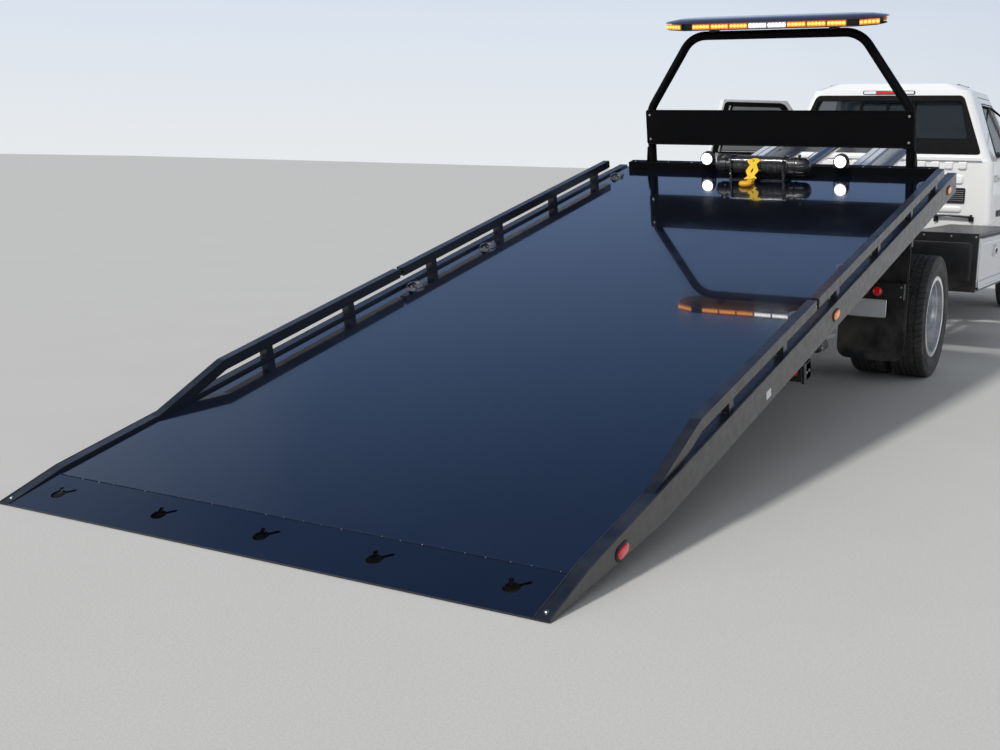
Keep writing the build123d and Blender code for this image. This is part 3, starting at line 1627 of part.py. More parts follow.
for side, name in ((1, "left"), (-1, "right")):
    with BuildPart() as box_lid:
        box_mid = (box_rear + box_front) / 2
        with Locations((box_mid, side * (box_far - box_door / 2), (box_low + box_high) / 2)):
            Box(
                box_front - box_rear - 2 * box_frame - 2 * box_door_gap,
                box_door,
                box_high - box_low - 2 * box_frame - 2 * box_door_gap,
            )
        with Locations(((box_rear + box_front) / 2, side * (box_far + 6), (box_low + box_high) / 2 + 60)):
            Box(140, 12, 90)
        leaf_rear = box_lug_xs[0] + box_lug / 2 + box_door_gap
        leaf_front = box_lug_xs[1] - box_lug / 2 - box_door_gap
        leaf_y = side * (box_far - 4 + box_leaf / 2)
        leaf_z = box_hinge_z + box_door_gap + 1 + box_leaf_height / 2
        with Locations(((leaf_rear + leaf_front) / 2, leaf_y, leaf_z)):
            Box(leaf_front - leaf_rear, box_leaf, box_leaf_height)
        with BuildSketch(Plane.YZ.offset(leaf_rear)):
            with Locations((side * box_hinge_y, box_hinge_z)):
                Circle(box_barrel)
        extrude(amount=leaf_front - leaf_rear)
        with BuildSketch(Plane.YZ.offset(leaf_rear - box_lug)):
            with Locations((side * box_hinge_y, box_hinge_z)):
                Circle(box_pin + pin_gap)
        extrude(amount=leaf_front - leaf_rear + 2 * box_lug, mode=Mode.SUBTRACT)
    save(box_lid, f"toolbox_door_{name}")

# Mud flaps behind the rear wheels, and the tail lamp panels that hang before them
with BuildPart() as mud_flaps:
    for side in (-1, 1):
        with BuildSketch(Plane.YZ.offset(flap_x)):
            with Locations((side * (flap_near + flap_far) / 2, (flap_low + flap_top) / 2)):
                Rectangle(flap_far - flap_near, flap_top - flap_low)
            fillet(vertices().group_by(Axis.Z)[0], radius=70)
        extrude(amount=-flap_plate)
save(mud_flaps, "mud_flaps")

tail_panel_depth = 70
tail_panel_low = 560
tail_panel_high = 660
tail_panel_near = flap_near - 5
tail_panel_far = flap_far - 10
plate_width = 305
plate_height = 152
plate_shift = 160

with BuildPart() as tail_panels:
    for side in (-1, 1):
        panel_x = flap_x - flap_plate - tail_panel_depth / 2
        panel_y = side * (tail_panel_near + tail_panel_far) / 2
        with Locations((panel_x, panel_y, (tail_panel_low + tail_panel_high) / 2)):
            Box(tail_panel_depth, tail_panel_far - tail_panel_near, tail_panel_high - tail_panel_low)
    plate_z = tail_panel_low - plate_height / 2 + 30
    with Locations((panel_x - 20, -(tail_panel_near + plate_shift), plate_z)):
        Box(6, plate_width, plate_height)
save(tail_panels, "tail_panels")
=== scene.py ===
import random
from math import atan2, cos, pi, radians, sin

import bmesh
import bpy
from mathutils import Matrix, Vector
from mathutils.bvhtree import BVHTree


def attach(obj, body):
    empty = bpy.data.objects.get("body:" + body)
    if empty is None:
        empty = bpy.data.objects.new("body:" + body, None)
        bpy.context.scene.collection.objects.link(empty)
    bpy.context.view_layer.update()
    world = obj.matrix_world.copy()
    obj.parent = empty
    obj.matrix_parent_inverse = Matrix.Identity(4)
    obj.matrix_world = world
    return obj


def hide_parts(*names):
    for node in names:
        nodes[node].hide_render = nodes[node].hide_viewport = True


# Flatbed tow truck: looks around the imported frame. Metres; +X forward, +Y to the driver's left, +Z up.
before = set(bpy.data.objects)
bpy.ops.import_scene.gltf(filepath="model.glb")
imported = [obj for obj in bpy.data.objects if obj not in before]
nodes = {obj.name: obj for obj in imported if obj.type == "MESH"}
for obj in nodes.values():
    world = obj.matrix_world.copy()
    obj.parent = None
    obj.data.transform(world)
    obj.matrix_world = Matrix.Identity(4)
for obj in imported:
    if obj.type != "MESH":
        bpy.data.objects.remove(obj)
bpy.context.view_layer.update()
random.seed(7)

# Bed directions, as in the part: s along the deck, y across, h square to it
TILT = radians(12.8)
BED = Matrix((
    (cos(TILT), 0, -sin(TILT), 0),
    (0, 1, 0, 0),
    (sin(TILT), 0, cos(TILT), 0.025 * cos(TILT)),
    (0, 0, 0, 1),
))
WORLD = Matrix.Identity(4)


# Camera at the photograph's viewing angle
def add_camera():
    """The camera, from a fit to the bed's corners, rails and wheels."""
    yaw, pitch, roll = radians(29.634), radians(-9.209), radians(1.311)
    forward = Vector((cos(yaw) * cos(pitch), sin(yaw) * cos(pitch), sin(pitch)))
    right = Vector((sin(yaw), -cos(yaw), 0))
    up = right.cross(forward)
    turned_right = cos(roll) * right + sin(roll) * up
    turned_up = cos(roll) * up - sin(roll) * right
    data = bpy.data.cameras.new("camera")
    data.sensor_width = 36
    data.lens = 47.42
    data.shift_x = 0.0079
    data.shift_y = -0.0065
    data.clip_start = 0.05
    data.clip_end = 500
    camera = bpy.data.objects.new("camera", data)
    bpy.context.scene.collection.objects.link(camera)
    turn = Matrix((turned_right, turned_up, -forward)).transposed()
    camera.matrix_world = Matrix.Translation((-3.411, -2.942, 1.400)) @ turn.to_4x4()
    bpy.context.scene.camera = camera


add_camera()
bpy.context.scene.view_settings.view_transform = "Standard"


# Materials
class Look:
    """A Principled material whose nodes are added step by step."""

    def __init__(self, name, colour, rough, metal=0.0, coat=0.0, coat_rough=0.03, **sockets):
        self.material = bpy.data.materials.new(name)
        self.material.use_nodes = True
        self.tree = self.material.node_tree
        self.shader = self.tree.nodes["Principled BSDF"]
        self.colour = colour
        self.set("Base Color", (*colour, 1))
        self.set("Roughness", rough)
        self.set("Metallic", metal)
        self.set("Coat Weight", coat)
        self.set("Coat Roughness", coat_rough)
        for socket, value in sockets.items():
            self.set(socket.replace("_", " "), value)
        self.rough = rough
        self.colour_from = None
        self.bump_from = None
        self.place = self.node("ShaderNodeTexCoord").outputs["Object"]

    def set(self, socket, value):
        """Sets an input of the shader."""
        self.shader.inputs[socket].default_value = value

    def node(self, kind, **settings):
        """Adds a node and sets its properties."""
        made = self.tree.nodes.new(kind)
        for key, value in settings.items():
            setattr(made, key, value)
        return made

    def link(self, source, target):
        """Joins an output to an input."""
        self.tree.links.new(source, target)

    def stretched(self, stretch):
        """Object coordinates scaled by three factors."""
        mapping = self.node("ShaderNodeMapping")
        mapping.inputs["Scale"].default_value = stretch
        self.link(self.place, mapping.inputs["Vector"])
        return mapping.outputs["Vector"]

    def noise(self, scale, low=0.0, high=1.0, start=0.35, stop=0.65, detail=3.0, stretch=None):
        """A noise mask from low to high."""
        texture = self.node("ShaderNodeTexNoise")
        texture.inputs["Scale"].default_value = scale
        texture.inputs["Detail"].default_value = detail
        self.link(self.stretched(stretch) if stretch else self.place, texture.inputs["Vector"])
        return self.ranged(texture.outputs["Fac"], start, stop, low, high)

    def ranged(self, source, start, stop, low, high):
        """A value from start to stop, turned into one from low to high."""
        spread = self.node("ShaderNodeMapRange")
        for socket, value in (("From Min", start), ("From Max", stop), ("To Min", low), ("To Max", high)):
            spread.inputs[socket].default_value = value
        self.link(source, spread.inputs["Value"])
        return spread.outputs["Result"]

    def times(self, first, second):
        """The product of two masks."""
        product = self.node("ShaderNodeMath", operation="MULTIPLY")
        self.link(first, product.inputs[0])
        self.link(second, product.inputs[1])
        return product.outputs[0]

    def facing_up(self, start=0.2, stop=0.95):
        """Mask of the faces that look up."""
        split = self.node("ShaderNodeSeparateXYZ")
        self.link(self.node("ShaderNodeNewGeometry").outputs["Normal"], split.inputs[0])
        return self.ranged(split.outputs["Z"], start, stop, 0, 1)

    def low_down(self, high, low):
        """Mask that grows from 0 at one height to 1 at a lower one."""
        split = self.node("ShaderNodeSeparateXYZ")
        self.link(self.place, split.inputs[0])
        return self.ranged(split.outputs["Z"], high, low, 0, 1)

    def texture(self, kind, scale, **settings):
        """A texture in object coordinates."""
        texture = self.node("ShaderNodeTex" + kind, **settings)
        texture.inputs["Scale"].default_value = scale
        self.link(self.place, texture.inputs["Vector"])
        return texture

    def mix(self, mask, colour):
        """Mixes a colour in where the mask is."""
        mix = self.node("ShaderNodeMix", data_type="RGBA")
        self.link(mask, mix.inputs["Factor"])
        if self.colour_from:
            self.link(self.colour_from, mix.inputs["A"])
        else:
            mix.inputs["A"].default_value = (*self.colour, 1)
        mix.inputs["B"].default_value = (*colour, 1)
        self.colour_from = mix.outputs["Result"]
        self.link(self.colour_from, self.shader.inputs["Base Color"])
        return self

    def tint(self, colour, scale, high, up=None, below=None, **noise):
        """Mixes a colour in by noise, on faces that look up or below a height where these are given."""
        mask = self.noise(scale, 0.0, high, **noise)
        if up is not None:
            mask = self.times(self.facing_up(*up), mask)
        if below is not None:
            mask = self.times(self.low_down(*below), mask)
        return self.mix(mask, colour)

    def roughen(self, value, scale, **noise):
        """Mixes another roughness in by noise."""
        mix = self.node("ShaderNodeMix", data_type="FLOAT")
        self.link(self.noise(scale, **noise), mix.inputs["Factor"])
        mix.inputs["A"].default_value = self.rough
        mix.inputs["B"].default_value = value
        self.link(mix.outputs["Result"], self.shader.inputs["Roughness"])
        return self

    def raise_by(self, height, strength, distance):
        """Bump from a height."""
        bump = self.node("ShaderNodeBump")
        bump.inputs["Strength"].default_value = strength
        bump.inputs["Distance"].default_value = distance
        self.link(height, bump.inputs["Height"])
        if self.bump_from:
            self.link(self.bump_from, bump.inputs["Normal"])
        self.bump_from = bump.outputs["Normal"]
        self.link(self.bump_from, self.shader.inputs["Normal"])
        return self

    def bump(self, strength, distance, scale, **noise):
        """Bump from noise."""
        return self.raise_by(self.noise(scale, **noise), strength, distance)


DUST = (0.32, 0.29, 0.25)


def lens(name, colour, glow):
    """Ribbed coloured plastic that glows a little."""
    look = Look(name, colour, 0.12, coat=1.0, Emission_Strength=glow)
    look.set("Emission Color", (*colour, 1))
    cells = look.texture("Voronoi", 160).outputs["Distance"]
    look.mix(look.ranged(cells, 0.2, 0.9, 0.0, 0.35), tuple(0.5 * c for c in colour))
    return look.raise_by(cells, 0.5, 0.001)


def woven(name, colour, rough, sheen, direction, scale, strength, distance, thread, thread_scale):
    """Cloth with a weave."""
    look = Look(name, colour, rough, Sheen_Weight=sheen)
    weave = look.texture("Wave", scale, wave_type="BANDS", bands_direction=direction)
    return look.tint(thread, thread_scale, 0.4).raise_by(weave.outputs["Fac"], strength, distance)


def wire_rope():
    """Dark steel wire with diagonal strands."""
    look = Look("wire_rope", (0.20, 0.195, 0.19), 0.42, metal=0.9)
    look.tint((0.06, 0.055, 0.05), 70, 0.7, detail=5)
    strands = look.texture("Wave", 140, wave_type="BANDS", bands_direction="DIAGONAL")
    return look.raise_by(strands.outputs["Fac"], 0.6, 0.001)


def galvanised():
    """Zinc with its spangle."""
    look = Look("galvanised", (0.6, 0.62, 0.64), 0.35, metal=0.9)
    cells = look.texture("Voronoi", 70).outputs["Distance"]
    look.mix(look.ranged(cells, 0.1, 0.7, 0.0, 0.6), (0.42, 0.44, 0.46))
    return look.roughen(0.55, 50).bump(0.05, 0.0005, 200)


def see_through(name, colour, rough, alpha):
    """Clear material that shows what is behind it."""
    look = Look(name, colour, rough, Alpha=alpha)
    look.material.surface_render_method = "BLENDED"
    return look


LOOK = {
    "gloss_black": Look("gloss_black", (0.0035, 0.0045, 0.009), 0.12, coat=1.0, coat_rough=0.015)
    .tint(DUST, 5, 0.03, detail=6, up=(0.5, 1.0))
    .roughen(0.2, 18, start=0.45, stop=0.7).bump(0.02, 0.002, 55, start=0.2, stop=0.8),
    "deck": Look("deck_black", (0.0016, 0.0028, 0.008), 0.09, coat=1.0, coat_rough=0.012)
    .tint((0.003, 0.005, 0.013), 1.4, 0.35, detail=4).roughen(0.17, 3.5, start=0.45, stop=0.75, detail=5)
    .bump(0.05, 0.004, 1.1, start=0.2, stop=0.8, detail=1).bump(0.015, 0.002, 70, start=0.2, stop=0.8),
    "rail": Look("rail_black", (0.0045, 0.0055, 0.009), 0.3, coat=0.35, coat_rough=0.12)
    .tint(DUST, 7, 0.05, detail=6, up=(0.6, 1.0))
    .tint((0.016, 0.015, 0.015), 34, 0.25, start=0.6, stop=0.75, detail=6)
    .roughen(0.4, 22).bump(0.05, 0.0006, 180, detail=2),
    "sign": Look("sign_black", (0.0028, 0.0029, 0.0034), 0.5, Specular_IOR_Level=0.08)
    .tint((0.0055, 0.0055, 0.006), 5, 0.3, detail=6).roughen(0.62, 14).bump(0.06, 0.0004, 330, detail=2),
    "seal": Look("seal_black", (0.0035, 0.0035, 0.004), 0.5, Specular_IOR_Level=0.12)
    .tint((0.008, 0.008, 0.0078), 25, 0.4, detail=4).bump(0.12, 0.0004, 500, detail=2),
    "satin_black": Look("satin_black", (0.012, 0.012, 0.013), 0.38, coat=0.25, coat_rough=0.2)
    .tint(DUST, 6, 0.10, detail=6, up=()).tint(DUST, 9, 0.14, detail=5, below=(0.9, 0.1))
    .roughen(0.55, 30).bump(0.12, 0.0006, 420, detail=2),
    "white": Look("cab_white", (0.86, 0.865, 0.87), 0.3, coat=1.0, coat_rough=0.04)
    .tint((0.5, 0.47, 0.42), 4, 0.35, detail=6, below=(1.0, 0.45)).tint((0.76, 0.78, 0.80), 0.8, 0.08)
    .roughen(0.38, 11).bump(0.02, 0.0006, 160, detail=1),
    "polished": Look("polished", (0.93, 0.93, 0.93), 0.10, metal=0.85)
    .tint((0.76, 0.76, 0.76), 26, 0.4, detail=5).roughen(0.2, 34, detail=5).bump(0.02, 0.0004, 300, detail=2),
    "brushed": Look("brushed", (0.90, 0.90, 0.89), 0.36, metal=0.55)
    .tint((0.72, 0.72, 0.71), 30, 0.3, detail=4, stretch=(0.2, 6, 6))
    .roughen(0.42, 60, detail=4, stretch=(0.1, 5, 5)).bump(0.04, 0.0004, 240, detail=2, stretch=(0.05, 4, 4)),
    "winch": Look("winch_black", (0.008, 0.008, 0.009), 0.33, coat=0.3, coat_rough=0.15)
    .tint((0.03, 0.028, 0.026), 30, 0.3, detail=5).roughen(0.5, 45).bump(0.12, 0.0006, 260, detail=3),
    "rope": wire_rope(),
    "steel": Look("bare_steel", (0.55, 0.55, 0.56), 0.32, metal=1.0)
    .tint((0.33, 0.31, 0.29), 40, 0.7, detail=6).roughen(0.5, 60, detail=5).bump(0.08, 0.0005, 260, detail=3),
    "galvanised": galvanised(),
    "cast": Look("cast_iron", (0.055, 0.056, 0.06), 0.55, metal=0.3)
    .tint((0.10, 0.08, 0.065), 14, 0.5, detail=6).bump(0.4, 0.001, 240, detail=4),
    "tyre": Look("tyre_rubber", (0.040, 0.039, 0.038), 0.8)
    .tint((0.095, 0.09, 0.082), 9, 0.6, detail=6).roughen(0.62, 22).bump(0.25, 0.0008, 330, detail=3),
    "flap": Look("flap_rubber", (0.012, 0.012, 0.013), 0.5)
    .tint(DUST, 7, 0.35, detail=6, below=(0.9, 0.15)).bump(0.2, 0.0008, 150, detail=4),
    "window": see_through("cab_window", (0.006, 0.011, 0.010), 0.02, 0.62).roughen(0.06, 9, detail=5),
    "cloth": woven("seat_cloth", (0.17, 0.17, 0.185), 0.9, 0.4, "DIAGONAL", 180, 0.4, 0.0008,
                   (0.24, 0.24, 0.26), 30),
    "trim": Look("trim_plastic", (0.018, 0.018, 0.02), 0.52)
    .tint(DUST, 12, 0.2, detail=5, up=()).bump(0.25, 0.0004, 700, detail=1),
    "cover": Look("cover_plastic", (0.03, 0.012, 0.004), 0.06, coat=1.0)
    .roughen(0.14, 40).bump(0.02, 0.001, 90),
    "amber": lens("amber_lens", (0.9, 0.25, 0.02), 0.3),
    "amber_lit": lens("amber_lit", (1.0, 0.42, 0.08), 1.6),
    "red": lens("red_lens", (0.62, 0.01, 0.012), 0.15),
    "clear": lens("clear_lens", (0.8, 0.82, 0.84), 0.1),
    "white_lit": lens("white_lit", (1.0, 1.0, 1.0), 3.0),
    "lens": see_through("lamp_cover", (0.9, 0.92, 0.93), 0.03, 0.18).roughen(0.07, 12, detail=4),
    "mirror": Look("mirror_glass", (0.9, 0.92, 0.92), 0.02, metal=1.0).roughen(0.05, 15, detail=4),
    "yellow": Look("hook_yellow", (0.82, 0.42, 0.01), 0.35, coat=0.4)
    .tint((0.5, 0.25, 0.02), 60, 0.5, detail=5, start=0.5).bump(0.1, 0.0006, 200),
    "webbing": woven("webbing", (0.85, 0.55, 0.02), 0.85, 0.3, "X", 260, 0.5, 0.0006, (0.6, 0.36, 0.02), 50),
    # Silver metal of the toolbox doors; the cab vents' slats also use it, as a painted highlight.
    "silver_and_highlight": Look("box_silver", (0.78, 0.79, 0.80), 0.28, metal=0.85)
    .tint((0.6, 0.6, 0.61), 20, 0.3, detail=5)
    .roughen(0.4, 25, detail=4, stretch=(1, 1, 12)).bump(0.03, 0.0004, 220),
    "bolt": Look("bolt_zinc", (0.62, 0.61, 0.58), 0.35, metal=1.0)
    .tint((0.45, 0.4, 0.3), 90, 0.5).bump(0.05, 0.0003, 300),
    "plate": Look("plate_white", (0.72, 0.74, 0.76), 0.35, coat=0.3)
    .tint((0.6, 0.6, 0.58), 30, 0.2).bump(0.05, 0.0004, 120),
}

CAD_LOOKS = {
    "deck": ("deck",),
    "rail": ("side_channels", "guard_rails"),
    "sign": ("headboard",),
    "gloss_black": ("slide_barrel",),
    "satin_black": ("chassis_frame", "front_axle", "rear_axle", "leaf_springs", "fuel_tank", "toolboxes",
                    "tail_panels", "bed_frame", "tilt_barrels", "lift_boom", "lift_stinger"),
    "white": ("cab", "door_left", "door_right", "hood", "fenders"),
    "polished": ("rim_front_left", "rim_front_right", "rims_rear_left", "rims_rear_right", "bumper",
                 "tilt_rods", "slide_rod"),
    "steel": ("exhaust", "tie_rings"),
    "galvanised": ("subframe",),
    "cast": ("engine", "winch", "knuckle_left", "knuckle_right"),
    "tyre": ("tyre_front_left", "tyre_front_right", "tyres_rear_left", "tyres_rear_right"),
    "flap": ("mud_flaps",),
    "window": ("cab_glass", "door_glass_left", "door_glass_right"),
    "cloth": ("seat_bench",),
    "trim": ("dashboard", "steering_wheel", "grille", "side_steps"),
    "amber": ("bed_lamps",),
    "cover": ("light_bar",),
    "clear": ("headlamps",),
    "yellow": ("winch_hook",),
    "silver_and_highlight": ("toolbox_door_left", "toolbox_door_right"),
}
for look_name, owners in CAD_LOOKS.items():
    for owner in owners:
        materials = nodes[owner].data.materials
        materials.clear()
        materials.append(LOOK[look_name].material)


# Mesh building
class Shape:
    """Mesh parts in one set of directions, made into one piece that rides on a body."""

    def __init__(self, at=WORLD):
        self.mesh = bmesh.new()
        self.at = at
        self.looks = []
        self.index = 0

    def use(self, look):
        """The material of what follows."""
        if look not in self.looks:
            self.looks.append(look)
        self.index = self.looks.index(look)
        return self

    def _face(self, corners):
        try:
            face = self.mesh.faces.new(corners)
        except ValueError:
            return None
        face.material_index = self.index
        return face

    def loops(self, rings, closed_ring=True, cap_start=True, cap_end=True, closed_path=False):
        """Skins a list of rings of points."""
        made = [[self.mesh.verts.new(self.at @ Vector(p)) for p in ring] for ring in rings]
        count = len(made[0])
        pairs = list(zip(made, made[1:])) + ([(made[-1], made[0])] if closed_path else [])
        for a, b in pairs:
            for i in range(count if closed_ring else count - 1):
                j = (i + 1) % count
                self._face((a[i], a[j], b[j], b[i]))
        if not closed_path and closed_ring:
            if cap_start:
                self._face(tuple(reversed(made[0])))
            if cap_end:
                self._face(tuple(made[-1]))
        return self

    def box(self, low, high, turn=None):
        """A box between two corners, turned about its middle."""
        low, high = Vector(low), Vector(high)
        middle, half = (low + high) / 2, (high - low) / 2
        spin = turn.to_3x3() if turn else Matrix.Identity(3)

        def corner(x, y, z):
            return middle + spin @ Vector((x * half.x, y * half.y, z * half.z))

        bottom = [corner(-1, -1, -1), corner(1, -1, -1), corner(1, 1, -1), corner(-1, 1, -1)]
        top = [corner(-1, -1, 1), corner(1, -1, 1), corner(1, 1, 1), corner(-1, 1, 1)]
        return self.loops([bottom, top])

    def stack(self, axis, sections, **options):
        """Skins outlines in two directions, each at a level along axis 0, 1 or 2."""
        return self.loops([[(*p[:axis], level, *p[axis:]) for p in outline] for level, outline in sections],
                          **options)

    def prism(self, points, axis, low, high):
        """A flat outline pushed along axis 0, 1 or 2 from low to high."""
        area = sum(a[0] * b[1] - b[0] * a[1] for a, b in zip(points, points[1:] + points[:1]))
        ordered = points if (area > 0) != (axis == 1) else points[::-1]
        return self.stack(axis, ((low, ordered), (high, ordered)))

    def lathe(self, profile, centre, axis, segments=32, closed=False):
        """Turns (along, radius) points about an axis through centre."""
        centre, axis = Vector(centre), Vector(axis).normalized()
        side = axis.orthogonal().normalized()
        other = axis.cross(side)
        rings = []
        for along, radius in profile:
            ring = []
            for a in turns(segments):
                ring.append(centre + axis * along + radius * (cos(a) * side + sin(a) * other))
            rings.append(ring)
        return self.loops(rings, closed_path=closed)

    def rod(self, start, end, radius, segments):
        """A round bar between two points."""
        start, end = Vector(start), Vector(end)
        return self.lathe([(0, radius), ((end - start).length, radius)], start, end - start, segments)

    def tube(self, path, radius, segments=12, closed=False):
        """A round bar along a path of points, mitred at each."""
        path = [Vector(p) for p in path]
        count = len(path)
        rings = []
        side = None
        for i, p in enumerate(path):
            before = path[(i - 1) % count] if closed or i else None
            after = path[(i + 1) % count] if closed or i < count - 1 else None
            a = (p - before).normalized() if before is not None else None
            b = (after - p).normalized() if after is not None else None
            ahead = ((a or b) + (b or a)).normalized()
            if side is None:
                side = ahead.orthogonal().normalized()
            side = (side - ahead * side.dot(ahead)).normalized()
            other = ahead.cross(side)
            rings.append([p + radius * (cos(t) * side + sin(t) * other) for t in turns(segments)])
        return self.loops(rings, closed_path=closed)

    def bolt(self, place, axis, size=0.012, washer=True):
        """A hexagon head on a washer."""
        axis = Vector(axis).normalized()
        place = Vector(place)
        if washer:
            self.lathe([(0, size * 1.05), (size * 0.18, size * 1.05)], place, axis, 16)
        self.lathe([(0, size * 0.8), (size * 0.62, size * 0.8), (size * 0.72, size * 0.62)], place, axis, 6)
        return self

    def made(self, name, body, slot, smooth=32, bevel=0.0, segments=2, replaces=()):
        """Turns the parts into the named piece."""
        bmesh.ops.recalc_face_normals(self.mesh, faces=self.mesh.faces)
        limit = radians(smooth)
        for face in self.mesh.faces:
            face.smooth = True
        for edge in self.mesh.edges:
            edge.smooth = len(edge.link_faces) == 2 and edge.calc_face_angle(0) < limit
        data = bpy.data.meshes.new(name)
        self.mesh.to_mesh(data)
        self.mesh.free()
        for look in self.looks:
            data.materials.append(LOOK[look].material)
        piece = bpy.data.objects.new(name, data)
        bpy.context.scene.collection.objects.link(piece)
        if bevel:
            cut = piece.modifiers.new("bevel", "BEVEL")
            cut.width = bevel
            cut.segments = segments
            cut.limit_method = "ANGLE"
            cut.angle_limit = radians(35)
            cut.harden_normals = True
        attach(piece, body)
        if replaces:
            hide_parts(*replaces)
        return piece


def turns(count, shift=0.0):
    """Angles evenly round a circle."""
    return [2 * pi * (k + shift) / count for k in range(count)]


def quad(a0, b0, a1, b1):
    """Corners of a rectangle."""
    return [(a0, b0), (a1, b0), (a1, b1), (a0, b1)]


def about(outline, middle, share):
    """An outline drawn smaller or larger about a point."""
    return [(middle[0] + (a - middle[0]) * share, middle[1] + (b - middle[1]) * share) for a, b in outline]


def across(side, near, far):
    """Two distances from the middle, in order, on the left (1) or the right (-1)."""
    return sorted((side * near, side * far))


def arc(centre, radius, start, stop, steps):
    """Points on an arc, angles in degrees."""
    angles = [radians(start + (stop - start) * i / steps) for i in range(steps + 1)]
    return [(centre[0] + radius * cos(a), centre[1] + radius * sin(a)) for a in angles]


def rounded(x0, y0, x1, y1, radius, steps=5):
    """Outline of a rectangle with round corners."""
    points = []
    for cx, cy, start in ((x1 - radius, y1 - radius, 0), (x0 + radius, y1 - radius, 90),
                          (x0 + radius, y0 + radius, 180), (x1 - radius, y0 + radius, 270)):
        points += arc((cx, cy), radius, start, start + 90, steps)
    return points


# Floor, world and lights
def add_stage():
    """A pale floor, a soft world and one sun."""
    floor_look = Look("floor", (0.47, 0.47, 0.465), 0.85)
    floor_look.tint((0.42, 0.42, 0.415), 1.3, 0.25, detail=8).tint((0.38, 0.38, 0.375), 90, 0.35, detail=4)
    floor_look.bump(0.25, 0.002, 180, detail=4)
    mesh = bpy.data.meshes.new("floor")
    mesh.from_pydata([(-150, -150, 0), (150, -150, 0), (150, 150, 0), (-150, 150, 0)], [], [(0, 1, 2, 3)])
    mesh.materials.append(floor_look.material)
    floor = bpy.data.objects.new("floor", mesh)
    bpy.context.scene.collection.objects.link(floor)

    world = bpy.data.worlds.new("studio")
    bpy.context.scene.world = world
    world.use_nodes = True
    tree = world.node_tree
    tree.nodes.clear()
    out = tree.nodes.new("ShaderNodeOutputWorld")
    place = tree.nodes.new("ShaderNodeTexCoord")
    split = tree.nodes.new("ShaderNodeSeparateXYZ")
    ramp = tree.nodes.new("ShaderNodeValToRGB")
    seen = tree.nodes.new("ShaderNodeBackground")
    soft = tree.nodes.new("ShaderNodeBackground")
    rays = tree.nodes.new("ShaderNodeLightPath")
    any_ray = tree.nodes.new("ShaderNodeMath")
    any_ray.operation = "MAXIMUM"
    all_rays = tree.nodes.new("ShaderNodeMath")
    all_rays.operation = "MAXIMUM"
    mix = tree.nodes.new("ShaderNodeMixShader")
    link = tree.links.new
    link(place.outputs["Generated"], split.inputs[0])
    link(split.outputs["Z"], ramp.inputs["Fac"])
    stops = ((0.0, (0.80, 0.82, 0.84)), (0.10, (0.70, 0.77, 0.86)), (0.32, (0.22, 0.32, 0.52)),
             (0.6, (0.065, 0.12, 0.26)), (1.0, (0.04, 0.08, 0.19)))
    while len(ramp.color_ramp.elements) < len(stops):
        ramp.color_ramp.elements.new(0.5)
    for element, (position, colour) in zip(ramp.color_ramp.elements, stops):
        element.position = position
        element.color = (*colour, 1)
    cloud = tree.nodes.new("ShaderNodeTexNoise")
    cloud.inputs["Scale"].default_value = 1.7
    cloud.inputs["Detail"].default_value = 5
    haze = tree.nodes.new("ShaderNodeMapRange")
    for socket, value in (("From Min", 0.5), ("From Max", 0.75), ("To Min", 0.0), ("To Max", 0.4)):
        haze.inputs[socket].default_value = value
    sky = tree.nodes.new("ShaderNodeMix")
    sky.data_type = "RGBA"
    sky.inputs["B"].default_value = (0.50, 0.56, 0.66, 1)
    link(place.outputs["Generated"], cloud.inputs["Vector"])
    link(cloud.outputs["Fac"], haze.inputs["Value"])
    link(haze.outputs["Result"], sky.inputs["Factor"])
    link(ramp.outputs["Color"], sky.inputs["A"])
    link(sky.outputs["Result"], seen.inputs["Color"])
    soft.inputs["Color"].default_value = (0.93, 0.96, 1.0, 1)
    soft.inputs["Strength"].default_value = 0.6
    link(rays.outputs["Is Camera Ray"], any_ray.inputs[0])
    link(rays.outputs["Is Glossy Ray"], any_ray.inputs[1])
    link(any_ray.outputs[0], all_rays.inputs[0])
    link(rays.outputs["Is Transmission Ray"], all_rays.inputs[1])
    link(all_rays.outputs[0], mix.inputs["Fac"])
    link(soft.outputs[0], mix.inputs[1])
    link(seen.outputs[0], mix.inputs[2])
    link(mix.outputs[0], out.inputs["Surface"])

    key = bpy.data.lights.new("key", "SUN")
    key.energy = 2.75
    key.angle = radians(7)
    key.color = (1.0, 0.97, 0.92)
    key_object = bpy.data.objects.new("key", key)
    key_object.rotation_euler = Vector((-0.85, 0.30, 1.0)).to_track_quat("Z", "Y").to_euler()
    bpy.context.scene.collection.objects.link(key_object)


add_stage()


# Bed: seam, edge beads, markers and tie-down rings
def deck_seam():
    """Weld across the deck where the tail plate meets it, a row of plug welds, and two corner bolts."""
    seam = Shape(BED).use("gloss_black")
    seam.prism([(0.2535, 0.0002), (0.2575, 0.0022), (0.2615, 0.0002)], 1, -1.155, 1.155)
    seam.use("steel")
    y = -1.13
    while y < 1.14:
        size = 0.55 + 0.45 * abs(sin(91 * y))
        seam.lathe([(0, 0.0030 * size), (0.0012, 0.0022 * size), (0.0016, 0.0005)],
                   (0.2575 + 0.0015 * sin(53 * y), y, 0.001), (0, 0, 1), 8)
        y += 0.082 + 0.03 * sin(37 * y)
    seam.use("bolt")
    for side in (-1, 1):
        seam.lathe([(0, 0.009), (0.003, 0.0085), (0.0055, 0.005)], (0.04, side * 1.19, -0.0135), (0, 0, 1),
                   14)
    seam.made("deck_seam", "bed", "bed_black")


CHANNEL_HALF = 1.22
CHANNEL_RISE = 0.012


